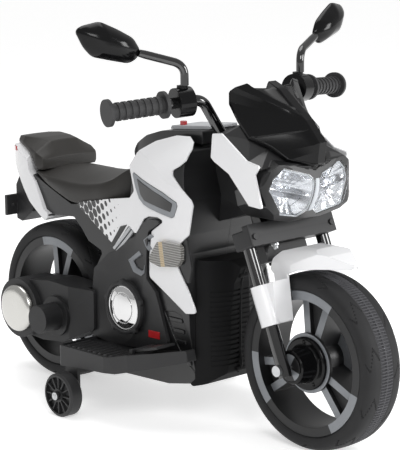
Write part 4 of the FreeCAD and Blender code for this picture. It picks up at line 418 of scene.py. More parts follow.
def tyre(axle):
    """Section curve carried round the axle. Depth is cut along the section's normal: bars across
    a middle band, a groove each side of it, and bolt-shaped grooves whose angle zigzags down the
    sidewall."""
    knot_r = np.concatenate([TYRE_R, TYRE_R[-2::-1]])
    knot_y = np.concatenate([-TYRE_Y, TYRE_Y[-2::-1]])
    run = np.concatenate([[0], np.cumsum(np.hypot(np.diff(knot_r), np.diff(knot_y)))])
    at = np.linspace(0, run[-1], SECTION_STEPS)
    radius, across = spline(run, knot_r, at), spline(run, knot_y, at)
    slope_r, slope_y = np.gradient(radius, at), np.gradient(across, at)
    size = np.hypot(slope_y, slope_r)
    angle = turn_angles(TREAD_BARS * STEPS_PER_BAR)[:, None]
    beat = (angle * TREAD_BARS / (2 * np.pi)) % 1.0
    off = np.abs(across)
    cut = np.where((off < BAND_TO) & (off > BAND_FROM) & (beat < BAR_GAP), BAR_DEPTH, 0.0)
    cut = np.maximum(cut, np.where((off > BAND_TO) & (off < GROOVE_TO), GROOVE_DEPTH, 0.0))
    fall = np.clip((at - run[-1] / 2) * np.sign(across) - BOLT_FROM, 0, BOLT_TO) / BOLT_RUN
    zigzag = np.abs((fall * ZIGZAGS) % 1.0 - 0.5) + 0.5 * fall
    shift = np.sign(across) * SIDE_SHIFT
    phase = (angle * BOLTS / (2 * np.pi) + shift + ZIGZAG_SWING * zigzag) % 1.0
    bolt = np.clip(1.3 - np.abs(phase - 0.5) / BOLT_HALF, 0, 1)
    bolt = bolt * (fall > 0.0) * (fall < BOLT_END)
    cut = np.maximum(cut, BOLT_DEPTH * bolt)
    bore = (len(angle), len(BORE_R))
    r = np.concatenate([radius - cut * (slope_y / size), np.broadcast_to(BORE_R, bore)], 1)
    y = np.concatenate([across + cut * (slope_r / size), np.broadcast_to(BORE_Y, bore)], 1)
    return around(axle, r, y, angle), True, True


# Rims: dark floors between each pair of spokes, and the covers over the front hub

SPOKE_ANGLES = (82, 202, 322)
SPOKE_HALF_ANGLE, SPOKE_HALF_BREADTH = math.radians(13), 5.6
SPOKE_FROM, SPOKE_TO, SPOKE_FLOOR_OUT = 46, 103.6, 15


def spoke_floor(axle, angle):
    """Four-cornered section that widens with radius between two spokes, carried outward along
    their middle line."""
    out = np.linspace(SPOKE_FROM, SPOKE_TO, 6)[:, None]
    half = out * math.tan(SPOKE_HALF_ANGLE) - SPOKE_HALF_BREADTH
    wide, deep = np.array([-1, 1, 1, -1]), np.array([-1, -1, 1, 1]) * SPOKE_FLOOR_OUT
    return outward(axle, out, half * wide, deep, math.radians(angle))


WHEELS = (("front", FRONT_AXLE), ("rear", REAR_AXLE))
for end, axle in WHEELS:
    piece(end + "_tyre_treaded", [tyre(axle)], end + "_wheel", tyre_rubber,
          stands_for=[end + "_tyre"])
for end, axle in WHEELS:
    piece(end + "_wheel_spoke_floors", [spoke_floor(axle, a) for a in SPOKE_ANGLES], end + "_wheel",
          black_pp, sharp=40)

COVER_FACE = -37.4
DIMPLES, DIMPLE_RING, DIMPLE_RADIUS, DIMPLE_DEPTH = 5, 36.4, 3.0, 3.2


def hub_cover(axle):
    """Stepped profile carried round the axle, with five round dimples sunk into its flat face."""
    profile = ([(22.5, -70.2), (25.5, -70.2), (27.5, -68.0), (29.0, -44.0), (31.0, -38.6),
                (32.5, -37.8)] + [(r, COVER_FACE) for r in np.linspace(33, 40, 15)]
               + [(42.0, -36.6), (43.4, -34.6), (43.4, -30.4), (22.5, -30.4)])
    points = turned(profile, axle, 180)[0]
    hole = np.radians(18 + 360 / DIMPLES * np.arange(DIMPLES))
    x = points[..., 0, None] - axle[0] - DIMPLE_RING * np.cos(hole)
    z = points[..., 2, None] - axle[1] - DIMPLE_RING * np.sin(hole)
    near = np.hypot(x, z).min(-1)
    face = np.abs(points[..., 1] - COVER_FACE) < 0.9
    sunk = DIMPLE_DEPTH * np.clip((DIMPLE_RADIUS - near) / 0.8, 0, 1)
    points[..., 1] += np.where(face, sunk, 0)
    return points, True, True


piece("front_hub_covers", mirrored([hub_cover(FRONT_AXLE)]), "front_wheel", gloss_black)


# Engine side: domed bright discs in lugged bezels, grey-rimmed window, red tile and grey strips

DISC = (-48.0, 187.0)
DISC_RADIUS, DISC_TOP, DISC_RISE = 36.5, -105.5, 5.0
LUGS, LUG_HEIGHT = 5, 3.6


def disc_dome():
    """Shallow dome: height falls with the square of the radius, a ring groove, then a small step
    and a short wall."""
    radius = np.concatenate([np.linspace(0, 24.0, 10), [24.6, 26.0, 26.6],
                             np.linspace(27.2, DISC_RADIUS, 6)])
    sunk = np.where((radius > 24.3) & (radius < 26.9), 1.4, 0.0)
    dome = np.stack([radius, DISC_TOP + DISC_RISE * (radius / DISC_RADIUS) ** 2 + sunk], -1)
    wall = [(37.2, -101.2), (38.6, -100.8), (38.8, -96.0), (0, -96.0)]
    return turned(np.concatenate([dome, wall]), DISC)


piece("engine_disc_domes", mirrored([disc_dome()]), "chassis", chrome,
      sharp=30, stands_for=["engine_discs"])


def disc_bezel():
    """Rounded ring about the disc; its outer radius swells into five lugs round the turn."""
    angle = turn_angles(240)
    lug = LUG_HEIGHT * np.clip(6.0 * (np.cos(LUGS * (angle - 0.35)) - 0.80), 0, 1)
    profile = np.array([(39.3, -97.0), (39.3, -102.6), (40.6, -104.2), (43.6, -104.2),
                        (46.2, -102.6), (47.0, -97.0)])
    swell = np.array([0, 0, 0.0, 0.5, 1, 1])[:, None]
    return around(DISC, profile[:, :1] + swell * lug, profile[:, 1:], angle), True, True


piece("engine_disc_bezels", mirrored([disc_bezel()]), "chassis", black_pp)


def flank_band(outer, inner, outer_lift, inner_lift, depth):
    """Strip between two open (x, z) paths on the right flank: four-cornered section whose front
    leans from one lift off the bodywork to the other, carried along both paths at equal shares."""
    share = np.linspace(0, 1, 60)
    rails = [at_lengths(np.array(path), np.linspace(0, 1, len(path)), share)
             for path in (outer, inner)]
    corners = []
    for rail, lift in ((0, outer_lift), (1, inner_lift), (1, inner_lift - depth),
                       (0, outer_lift - depth)):
        x, z = rails[rail].T
        corners.append(np.stack([x, -(skin(x, z) + lift), z], -1))
    return capped(np.stack(corners, 1))


WALL_OUTER = ((-11, 291), (-47, 269.2), (-31, 251), (-5, 248.6), (6.4, 255.4), (8.2, 269))
WALL_INNER = ((-8, 284.5), (-37, 268.6), (-26, 258.5), (-6, 256.6), (0.2, 260.4), (1.6, 269))
NECK_OUTER = ((27.5, 325.6), (5, 312.3), (12.2, 302.9), (21.8, 296.7))
NECK_INNER = ((33.5, 321.9), (15.8, 313.1), (20.8, 305.8), (27.1, 300.7))
TILE = ((6, 156), (34, 156.5), (32.5, 143.5), (4.5, 143))
SLOT = ((-103, 286), (-74, 323), (-55, 328.5), (-95, 284))
STRIPS = (((-95, 283), (-48, 326), (-44, 322.5), (-91, 279.5)),
          ((-87, 279), (-40, 321.5), (-36, 318), (-83, 276)))
TRIM_FIELD = ((-19, 413), (0, 407.5), (60, 395), (90, 386), (85, 371.5), (20, 377.5), (4, 379.5),
              (-8, 388))
for name, grids, finish, slot in (
        ("window_walls", [flank_band(WALL_OUTER, WALL_INNER, 5.0, 1.0, 2.5)], silver_lacquer,
         "silver_plastic"),
        ("neck_walls", [flank_band(NECK_OUTER, NECK_INNER, 4.8, 0.8, 2.0)], silver_lacquer,
         "silver_plastic"),
        ("red_tiles", [skin_plate(TILE, 3.4, 5.0)], red_acrylic, "red_plastic"),
        ("panel_slots", [skin_plate(SLOT, -1.0, 0.5)], smooth_pp, "black_plastic"),
        ("panel_strips", [skin_plate(s, -3.2, 1.6) for s in STRIPS], pale_grey_abs,
         "light_grey_plastic"),
        ("tank_trim_fields", [skin_plate(TRIM_FIELD, 0.4, 1.7)], smooth_pp, "black_plastic")):
    piece(name, mirrored(grids), "chassis", finish, sharp=30)


# Seats: moulded shells, sections carried from tail to tank

def moulded_pad(x, low, ridge, crown, half, top, shape, stations, curve, ease):
    """Each section point is (share of half width, share of top width, share up to the ridge, share
    from ridge to crown, mm added); the ends draw in along a quarter circle of the given length."""
    along = np.linspace(x[0], x[-1], stations)
    low, ridge, crown, half, top = (curve(x, v, along)[:, None]
                                    for v in (low, ridge, crown, half, top))
    shape = np.array(shape)
    full = np.concatenate([shape, (shape * [-1, -1, 1, 1, 1])[-2:0:-1]])
    y = half * full[:, 0] + top * full[:, 1]
    z = low + (ridge - low) * full[:, 2] + (crown - ridge) * full[:, 3] + full[:, 4]
    end = np.clip(np.minimum(along - along[0], along[-1] - along) / ease, 0, 1)[:, None]
    round_in = np.sqrt(1 - (1 - end) ** 2) * 0.14 + 0.86
    middle = low + 0.5 * (crown - low)
    return capped(np.stack([along[:, None] + 0 * y, y * round_in,
                            middle + (z - middle) * round_in], -1))


SEAT_HALF = (60, 72, 78, 79, 79, 74, 50, 26)
SEAT = dict(x=(-335, -300, -250, -206, -160, -110, -74, -56),
            low=(388.2, 376.2, 358.6, 346.2, 353.4, 361.2, 370, 374),
            ridge=(389.5, 386, 382, 380, 383, 396, 420, 424),
            crown=(394, 398, 400, 400, 403, 414, 427, 427.4), half=SEAT_HALF, top=SEAT_HALF)
SEAT_SHAPE = ((0, 0, 0, 0, 0), (0.5, 0, 0, 0, 0), (0.9, 0, 0, 0, 0), (0.97, 0, 0.05, 0, 0),
              (1.0, 0, 0.45, 0, 0), (0.995, 0, 0.82, 0, 0), (0.975, 0, 0.985, 0, 0),
              (0.955, 0, 1.0, 0.05, 0.6), (0.925, 0, 1.0, 0.09, 1.0), (0.88, 0, 1.0, 0.16, 0.2),
              (0.75, 0, 1.0, 0.36, 0), (0.55, 0, 1.0, 0.64, 0), (0.3, 0, 1.0, 0.88, 0),
              (0, 0, 1.0, 1.0, 0))
piece("seat_moulding",
      [moulded_pad(**SEAT, shape=SEAT_SHAPE, stations=110, curve=spline, ease=9.0)],
      "chassis", seat_shell, sharp=28, stands_for=["seat_pad"])
PILLION = dict(x=(-424, -408, -385, -350, -325, -306), low=(430, 430.6, 429, 418.4, 392.0, 392.5),
               ridge=(435, 437, 435, 428, 421, 413), crown=(438, 443.4, 445, 444.4, 441, 415),
               half=(24, 38, 48, 60, 67, 64), top=(14, 33, 40, 33, 29, 30))
PILLION_SHAPE = ((0, 0, 0, 0, 0), (0.6, 0, 0, 0, 0), (0.95, 0, 0, 0, 0), (1.0, 0, 0.25, 0, 0),
                 (1.0, 0, 0.7, 0, 0), (0.99, 0, 0.92, 0, 0), (0.95, 0.045, 1.0, 0.08, 0),
                 (0.5, 0.5, 1.0, 0.52, 0), (0.06, 0.97, 1.0, 0.95, 0), (0, 0.98, 1.0, 1.0, 0),
                 (0, 0.5, 1.0, 1.0, 0.3), (0, 0, 1.0, 1.0, 0.5))
piece("pillion_moulding",
      [moulded_pad(**PILLION, shape=PILLION_SHAPE, stations=60, curve=straight, ease=5.0)],
      "chassis", seat_shell, sharp=16, stands_for=["pillion_pad"])


# Headlamp: fluted two-cell bowls and pale edge beads behind the clear lens

LENS = ((4, 438), (13, 447), (64, 462), (84, 448), (92, 430), (70, 388), (22, 378), (4, 389))
LENS_MIDDLE = np.array((46.0, 420.0))
DIVIDER_Y, DIVIDER_Z, DIVIDER_SLOPE = 10, 412, 0.26
BOWL_SETBACK, BOWL_DEPTH, BOWL_THICK = 5.0, 4, 1.6
CELL_DEPTH, CELL_RUN = 16, 9.0
FLUTES, FLUTE_DEPTH = 12, 1.2
FACET_RUN, FACET_DEPTH = 6.5, 0.7
BEAD_SETBACK, BEAD_RADIUS = 4.6, 1.3


def nose_front(y, z):
    """Front of the lamp unit at (y, z): the lesser of its side profile and its plan curve."""
    by_side = spline((371, 390, 414, 440, 468), (283, 298, 310, 313, 302), z)
    by_plan = spline((4, 30, 62, 96), (318, 311, 302, 292), np.clip(np.abs(y), 4, 96))
    return np.minimum(by_side, by_plan)


def lens_edge(share, count):
    """Lens outline in (y, z), drawn in to a share about its middle."""
    return LENS_MIDDLE + (along_edges(LENS, count) - LENS_MIDDLE) * share


def lamp_bowl():
    """Rings from a bowl's middle to the lens outline. Depth grows inward with the square of the
    ring's share and away from a sloping divider, so the bowl is two cells; flutes ripple it round
    the turn and facets step along the divider; a layer behind closes it."""
    edge = lens_edge(0.965, 150) - LENS_MIDDLE
    share = np.linspace(0, 1, 40)[:, None]
    flat = LENS_MIDDLE + share[..., None] * edge
    y, z = flat[..., 0], flat[..., 1]
    off_line = np.abs((z - DIVIDER_Z) - DIVIDER_SLOPE * (y - DIVIDER_Y)) / 1.03
    angle = np.arctan2(edge[:, 1], edge[:, 0])
    flute = np.abs((angle * FLUTES / (2 * np.pi)) % 1.0 - 0.5) * 2
    cell = np.clip(off_line / CELL_RUN, 0.0, 1.0)
    ripple = FLUTE_DEPTH * flute * cell * np.clip(share * 2 - 0.4, 0, 1)
    depth = BOWL_SETBACK + (1 - share**2) * (BOWL_DEPTH + CELL_DEPTH * cell) + ripple
    depth = depth + FACET_DEPTH * np.abs((off_line / FACET_RUN) % 1.0 - 0.5) * cell
    x = nose_front(y, z) - depth
    x = np.concatenate([x, x[::-1] - BOWL_THICK])
    flat = np.concatenate([flat, flat[::-1]])
    return np.stack([x, -flat[..., 0], flat[..., 1]], -1), False, True


piece("headlamp_bowls", mirrored([lamp_bowl()]), "steering", lamp_chrome,
      sharp=30, stands_for=["headlamp_reflector"])


def lens_bead():
    """Round section carried along the lens outline, just behind the front of the lamp unit."""
    y, z = lens_edge(0.955, 140).T
    return tube(np.stack([nose_front(y, z) - BEAD_SETBACK, -y, z], -1), BEAD_RADIUS)


# Light-guide bead in pale blue-grey acrylic round each lens.
bead_acrylic = finished(
    "acrylic_pale_bead", {"Roughness": 0.18, "IOR": 1.49},
    "#bdc1c6", "#d2d6da", 20, 3.0, 0.02, 0.3)
piece("headlamp_beads", mirrored([lens_bead()]), "steering", bead_acrylic, sharp=40)


# Training wheels: zinc washers on the pins

TRAINING_PIN = (-112, 38)


def pin_washer():
    """Flat washer with a domed nut, as a turned profile."""
    return turned([(0, -207.0), (2.6, -206.8), (3.4, -206.0), (3.6, -205.2), (6.6, -205.0),
                   (6.9, -204.2), (0, -204.2)], TRAINING_PIN, 40)


piece("training_pin_washers", mirrored([pin_washer()]), "chassis", zinc_steel)


# Rear hub caps: one flat plated face with a rounded rim

def hub_cap():
    """Profile of a flat face that rolls over into a short rim, carried round the rear axle."""
    return turned([(0, -130.2), (28, -130.0), (34.5, -129.4), (38.6, -128.0), (41.4, -125.6),
                   (42.7, -122.6), (42.9, -118.6), (0, -118.6)], REAR_AXLE, 128)


piece("hub_cap_faces", mirrored([hub_cap()]), "chassis", satin_chrome,
      sharp=30, stands_for=["hub_caps"])


# Foot rests: rounded grip bars across the tread

GRIP_ENDS, GRIP_EASE, GRIP_PITCH = (-163.5, -100.5), 5.0, 14
GRIP_HALF, GRIP_RISE, GRIP_SUNK = 4.2, 5.2, 0.6


def grip_bar(x):
    """Half-round section carried across the foot rest at one station, drawn in at both ends."""
    across = np.linspace(-162, -102, 14)
    inside = np.minimum(across - GRIP_ENDS[0], GRIP_ENDS[1] - across)
    end = np.clip(inside / GRIP_EASE, 0.15, 1)[:, None]
    angle = np.linspace(0, np.pi, 9)
    rise = np.interp(x, (-148, -11, 23), (112, 114, 122))
    section_x = x + GRIP_HALF * np.cos(angle) * (0.5 + 0.5 * end)
    section_z = rise - GRIP_SUNK + GRIP_RISE * np.sin(angle) * end
    return capped(np.stack([section_x, across[:, None] + 0 * section_x, section_z], -1))


piece("footrest_bars", mirrored([grip_bar(x) for x in np.arange(-132, -2, GRIP_PITCH)]), "chassis",
      black_pp)


# Training wheels: radial ribs in the dished faces

ROLLER_AXLE = (-112.02, 38)


def roller_rib(angle):
    """Four-cornered section carried outward from hub to rim in the outer dish."""
    out = np.linspace(11.5, 32.4, 4)[:, None]
    half = np.array([-1.4, 1.4, 1.1, -1.1])
    return outward(ROLLER_AXLE, out, half, np.array([-191.5, -191.5, -196.6, -196.6]), angle)


ribs = [roller_rib(a) for a in turn_angles(12)]
for side, grids in (("right", ribs), ("left", flipped(ribs))):
    piece("training_ribs_" + side, grids, "training_" + side, roller_pp)


# Front cover: bead and screw lugs along the joint of the two halves, and rungs in the flank recess

def front_joint():
    """Rounded section carried up the middle of the front cover, following its side profile."""
    rise = np.linspace(88, 268, 60)[:, None]
    front = spline((76, 92, 130, 200, 246, 273), (116, 133, 135, 136, 139, 148), rise)
    angle = turn_angles(12)
    return capped(np.stack([front - 0.4 + 2.0 * np.cos(angle), 2.6 * np.sin(angle) + 0 * rise,
                            rise + 0 * angle], -1))


def joint_lug(rise, front):
    """Short rounded barrel across the joint, as a turned profile."""
    return turned([(0, -9.0), (3.2, -9.0), (4.2, -8.0), (4.2, 8.0), (3.2, 9.0), (0, 9.0)],
                  (front, rise), 24)


piece("front_joint_bead", [front_joint(), joint_lug(258, 141.6), joint_lug(96, 133.2)], "chassis",
      dull_pp)


def rung(share):
    """Bar across the flank recess at a share of its height."""
    left = np.array([52 + 34 * share, 186 - 76 * share])
    right = np.array([84 + 11.5 * share, 186 - 76 * share])
    return skin_plate((left, right, right - (0, 6.5), left - (-2.5, 6.5)), -6.0, -2.2, 4, 40)


piece("flank_rungs", mirrored([rung(s) for s in (0.0, 0.24, 0.48, 0.72, 0.96)]), "chassis",
      smooth_pp)


# Windscreen: one smooth moulding with a raised rim, a middle ridge and a lower field set back

RIDGE = ((212, 588), (234, 579), (295, 532), (325, 499), (320, 466))
RIDGE_HALF = 8
SCREEN_EDGE = ((212, 8, 588), (216, 17, 578), (209, 45, 580), (207, 52, 588), (200, 71, 583),
               (192, 75, 577), (192, 75, 559), (213, 77, 533), (241, 80, 508), (264, 61, 494),
               (289, 44, 473), (318, 12, 465), (320, 8, 466))
RIDGE_SHARE = (0.0, 0.1, 0.40, 0.45, 0.50, 0.53, 0.56, 0.60, 0.66, 0.78, 0.88, 0.98, 1.0)
SCREEN_OUT = (0, 0.05, 0.12, 0.2, 0.4, 0.6, 0.8, 0.9, 0.925, 0.94, 0.97, 1.0)
SCREEN_STEP = 8  # edge point where the step line meets the edge
FIELD_SUNK, FIELD_SUNK_BELOW, SCREEN_THICK = -0.9, -2.4, 5.0


def screen_moulding():
    """Straight rules from the ridge to the edge, both cut at matching shares. The rules run from
    the left edge over the ridge to the right edge; a lip rises along the edge, and the field under
    the step line sinks; a second layer behind closes it."""
    edge, ridge = np.array(SCREEN_EDGE, float), np.array(RIDGE, float)
    run, length = lengths(edge), lengths(ridge)
    step = run[SCREEN_STEP]
    at = np.sort(np.concatenate([np.linspace(0, run[-1], 150), run[1:-1], [step + 1.5]]))
    rim = at_lengths(edge, run, at)
    share = np.interp(at, run, RIDGE_SHARE) * length[-1]
    top = np.insert(at_lengths(ridge, length, share), 1, RIDGE_HALF, axis=1)
    out = np.array(SCREEN_OUT)[:, None]
    half = top[:, None] + out * (rim - top)[:, None]
    below = (at > step + 0.7)[:, None]
    field = (out[:, 0] > 0.08) & (out[:, 0] < 0.932)
    lift = np.where(field, np.where(below, FIELD_SUNK_BELOW, FIELD_SUNK), 0.0)
    inward = np.array([-0.6, 0, -0.8])
    half = half - inward * lift[..., None]
    front = np.concatenate([(half * [1, -1, 1])[:, ::-1], half], 1)
    back = front[:, ::-1] + inward * SCREEN_THICK
    return capped(np.concatenate([front, back], 1))


piece("windscreen_moulding", [screen_moulding()], "steering", gloss_black,
      sharp=14, stands_for=["windscreen"])


# Screw under the lower clamp

STEER_FOOT_X, STEER_COS, STEER_SIN = 346.26, 0.92449, 0.3812


def clamp_screw():
    """Round head with a flange, its axis along the steering axis."""
    profile = np.array([(0, 332.6), (3.4, 332.9), (4.2, 334.2), (4.4, 338.0), (7.0, 338.4),
                        (7.2, 341.0), (7.0, 343.4), (0, 343.4)])
    angle = turn_angles(28)
    ahead = 40 + profile[:, :1] * np.cos(angle)
    side = -36 + profile[:, :1] * np.sin(angle)
    rise = profile[:, 1:] + 0 * angle
    return np.stack([STEER_FOOT_X + STEER_COS * ahead - STEER_SIN * rise, side,
                     STEER_SIN * ahead + STEER_COS * rise], -1), False, True


piece("clamp_under_screw", [clamp_screw()], "steering", zinc_steel)


# Headlamp: clear rib over the joint of the two bowls

def lamp_rib():
    """Rounded strip down the middle of the lamp unit, just in front of it."""
    rise = np.linspace(387, 441, 30)[:, None]
    angle = turn_angles(16)
    y = 4.4 * np.sin(angle) + 0 * rise
    x = nose_front(0 * rise, rise) - 0.6 + 1.5 * np.cos(angle)
    return capped(np.stack([x, y, rise + 0 * angle], -1))


piece("headlamp_middle_rib", [lamp_rib()], "steering", bead_acrylic)


# Tail lamp: lens wrapped round onto the flanks of the tail, as plates on the tail's own plan curve

TAIL_SIDE = ((-422, 415.5), (-421, 424.5), (-402, 425), (-399, 417.5))
piece("tail_lamp_sides", mirrored([skin_plate(TAIL_SIDE, -1.0, 1.6, 6, 48, tail_skin)]), "chassis",
      red_acrylic)


# Mirrors: full leaf-shaped shells with their glass, on stouter stems

MIRROR_JOINT = np.array([113.4, -192.0, 641.2])
MIRROR_OUT = np.array([-0.2756, -0.9613, 0.0])
MIRROR_AHEAD = np.array([0.9613, -0.2756, 0.0])
MIRROR_UP = np.array([0, 0, 1.0])
SHELL_RIM, SHELL_RISE, SHELL_POWER = 5.0, 19.0, 2.6
MIRROR_LEAF = ((114.6, 39.5), (105, 46.5), (73, 52.5), (42, 38.5), (16, 24), (4, 4), (10.5, -9),
               (25.5, -15.5), (57, -9), (87, -2), (101, 13))
STEM_FOOT, STEM_CORNER = np.array([147.4, -132.0, 587.0]), np.array([147.4, -132.0, 619.2])
STEM_SIDE = np.array([0.870, -0.493, 0.0])
STEM_RADIUS, STEM_TIP = 6.8, (6.7, 6.0)


def leaf_rings(rings):
    """Leaf outline in the mirror's own plane, corners rounded by averaging neighbours; each ring
    is drawn in to a share of it and lies a distance ahead of the glass."""
    edge = along_edges(MIRROR_LEAF, 132)
    edge = sum(np.roll(edge, k, 0) for k in range(-3, 4)) / 7
    middle = edge.mean(0)
    layers = []
    for share, ahead in rings:
        out, up = np.split(middle + share * (edge - middle), 2, axis=1)
        flat = MIRROR_JOINT + out * MIRROR_OUT + up * MIRROR_UP
        layers.append(flat + ahead * MIRROR_AHEAD)
    return np.stack(layers), False, True


def stem_tube():
    """Round section carried from the clamp up a bend and, thinner, into the shell."""
    end = MIRROR_JOINT + 7 * MIRROR_OUT + 6 * MIRROR_AHEAD
    bend_from = STEM_CORNER - [0, 0, 17]
    bend_to = STEM_CORNER + 0.25 * (MIRROR_JOINT - STEM_CORNER)
    turn = np.linspace(0, 1, 12)[:, None]
    bend = (1 - turn) ** 2 * bend_from + 2 * turn * (1 - turn) * STEM_CORNER + turn**2 * bend_to
    rest = bend_to + np.linspace(0.2, 1, 6)[:, None] * (end - bend_to)
    path = np.concatenate([STEM_FOOT[None], bend, rest])
    ahead = np.gradient(path, axis=0)
    ahead /= np.linalg.norm(ahead, axis=1, keepdims=True)
    over = np.cross(ahead, STEM_SIDE)
    angle = turn_angles(20)[:, None]
    radius = np.full(len(path), STEM_RADIUS)
    radius[-2:] = STEM_TIP
    ring = np.cos(angle) * STEM_SIDE + np.sin(angle) * over[:, None]
    return capped(path[:, None] + radius[:, None, None] * ring)


dome = [(s, SHELL_RIM + SHELL_RISE * (1 - s**SHELL_POWER)) for s in np.linspace(0, 1, 14)]
shell = leaf_rings(dome + [(1.0, 1.6), (0.985, 0.6), (0.93, 0.6), (0.0, 0.6)])
glass = leaf_rings([(0.0, 0.4), (0.92, 0.4), (0.92, -0.4), (0.0, -0.4)])
MIRROR_PIECES = (("shell", "head", shell, gloss_black, "black_plastic"),
                 ("pane", "glass", glass, mirror_film, "mirror_face"),
                 ("stem", "stem", stem_tube(), enamel_black, "black_steel"))
for side in ("right", "left"):
    for label, node_label, grid, finish, slot in MIRROR_PIECES:
        piece(f"mirror_{side}_{label}", [grid] if side == "right" else flipped([grid]),
              "mirror_" + side, finish, sharp=45, stands_for=[f"mirror_{node_label}_{side}"])


# Finishes of the CAD nodes; places in them are in metres

BARREL_RADIUS, LIP_OUT, COVER_OUT, FACING = 0.1035, 0.0365, 0.05, 0.4
SPOKE_PAIRS, FIRST_PAIR = len(SPOKE_ANGLES), math.radians(SPOKE_ANGLES[0])
LIP_NEAR = math.cos(math.radians(66))


def rim_lacquer(name, axle):
    """Silver inside the barrel on faces that look outward, short of the hub covers, and on the lip
    near each pair of spokes; black elsewhere."""
    material, tree, shader = new_material(name, {"Roughness": 0.38, "IOR": 1.5, "Metallic": 0.2})
    place = add_node(tree, "ShaderNodeTexCoord")
    centred = add_node(tree, "ShaderNodeMapping", {"Location": (-axle[0] / MM, 0, -axle[1] / MM)},
                       {"Vector": (place, "Object")})
    parts = split(tree, (centred, 0))
    ring = add_node(tree, "ShaderNodeCombineXYZ", None, {"X": (parts, "X"), "Y": (parts, "Z")})
    radius = add_node(tree, "ShaderNodeVectorMath", {"operation": 'LENGTH'}, {0: (ring, 0)})
    inside = calc(tree, 'LESS_THAN', (radius, "Value"), BARREL_RADIUS)
    turn = calc(tree, 'ARCTAN2', (parts, "Z"), (parts, "X"))
    beat = calc(tree, 'MULTIPLY_ADD', turn, SPOKE_PAIRS, -SPOKE_PAIRS * FIRST_PAIR)
    near = calc(tree, 'GREATER_THAN', calc(tree, 'COSINE', beat), LIP_NEAR)
    out = calc(tree, 'ABSOLUTE', (parts, "Y"))
    lip = calc(tree, 'MULTIPLY', near, calc(tree, 'GREATER_THAN', out, LIP_OUT))
    looks_out = calc(tree, 'ABSOLUTE', (split(tree, (place, "Normal")), "Y"))
    front = calc(tree, 'MULTIPLY', calc(tree, 'LESS_THAN', out, COVER_OUT),
                 calc(tree, 'GREATER_THAN', looks_out, FACING))
    silver = calc(tree, 'MAXIMUM', calc(tree, 'MULTIPLY', inside, front), lip)
    grey = blend(tree, noise(tree, place, 25, Detail=3.0), "#7c7f83", "#8f9296")
    feed(tree, blend(tree, silver, "#1a1a1b", grey), shader, "Base Color")
    emboss(tree, shader, noise(tree, place, 0.9), 0.3, 0.04, 1.2)
    return material


DOT_PITCH, DOT_STRETCH, DOT_TURN = 15.0, 1.73, math.radians(24)
DOT_FADE, DOT_SIZES = (-0.155, -0.062), (0.48, 0.0)


def halftone_white():
    """White ABS with printed dots: two lattices make a hexagonal one; dots shrink forward."""
    material, tree, shader = new_material("abs_white_printed_dots", WHITE_GLOSS)
    place = add_node(tree, "ShaderNodeTexCoord")
    parts = split(tree, (place, "Object"))
    flat = add_node(tree, "ShaderNodeCombineXYZ", None, {"X": (parts, "X"), "Y": (parts, "Z")})
    distances = []
    for shift in (0.0, 0.5):
        cell = add_node(tree, "ShaderNodeMapping",
                        {"Scale": (MM / DOT_PITCH, MM / (DOT_PITCH * DOT_STRETCH), 1.0),
                         "Rotation": (0, 0, DOT_TURN), "Location": (shift, shift, 0)},
                        {"Vector": (flat, 0)})
        for operation, value in (('FRACTION', None), ('SUBTRACT', (0.5, 0.5, 0.0)),
                                 ('MULTIPLY', (1.0, DOT_STRETCH, 0.0)), ('LENGTH', None)):
            settings = {"operation": operation, **({1: value} if value else {})}
            cell = add_node(tree, "ShaderNodeVectorMath", settings, {0: (cell, 0)})
        distances.append((cell, "Value"))
    size = ramp(tree, (parts, "X"), DOT_FADE, DOT_SIZES, interpolation_type='SMOOTHSTEP')
    dot = calc(tree, 'LESS_THAN', calc(tree, 'MINIMUM', *distances), size)
    white = blend(tree, noise(tree, place, 90), *WHITE_TONES)
    feed(tree, blend(tree, dot, white, "#19191a"), shader, "Base Color")
    edge = add_node(tree, "ShaderNodeBevel", {"samples": BEVEL_SAMPLES, "Radius": 0.0016})
    feed(tree, (edge, 0), shader, "Normal")
    return material


LENS_RIB_MM = 4.2
AMBER_FROM, AMBER_TO = 0.058, 0.068


def ribbed_lens():
    """Smoke-clear lens with ribs 4.2 mm apart as bump, with painted light and shade that make each
    rib's crest paler and its trough darker, and a pale amber strip across its middle.
    """
    material, tree, shader = new_material("polycarbonate_ribbed_smoke",
                                          {"Roughness": 0.14, "IOR": 1.58, "Coat Weight": 0.4})
    place = add_node(tree, "ShaderNodeTexCoord")
    parts = split(tree, (place, "Object"))
    wave = calc(tree, 'SINE', calc(tree, 'MULTIPLY', (parts, "Z"), 2 * math.pi * MM / LENS_RIB_MM))
    strip = calc(tree, 'MULTIPLY', calc(tree, 'GREATER_THAN', (parts, "X"), AMBER_FROM),
                 calc(tree, 'LESS_THAN', (parts, "X"), AMBER_TO))
    # Painted light and shade on the ribs: the smoke tone runs from dark in each trough to pale on
    # each crest.
    smoke_and_rib_light = blend(tree, ramp(tree, wave, (-1.0, 1.0)), "#6f6d6a", "#a9a7a3")
    feed(tree, blend(tree, strip, smoke_and_rib_light, "#cdb995"), shader, "Base Color")
    bump = add_node(tree, "ShaderNodeBump", {"Strength": 0.8, "Distance": 0.0008}, {"Height": wave})
    feed(tree, (bump, 0), shader, "Normal")
    return material


# Clear polycarbonate of the headlamp lens: water-clear, thin, sharp highlights.
clear_lens, lens_tree, lens_shader = new_material(
    "polycarbonate_clear", {"Base Color": linear("#fbfcfd"), "Roughness": 0.03, "IOR": 1.3,
                            "Transmission Weight": 1.0})
lens_bevel = add_node(lens_tree, "ShaderNodeBevel", {"samples": 4, "Radius": 0.001})
feed(lens_tree, (lens_bevel, 0), lens_shader, "Normal")

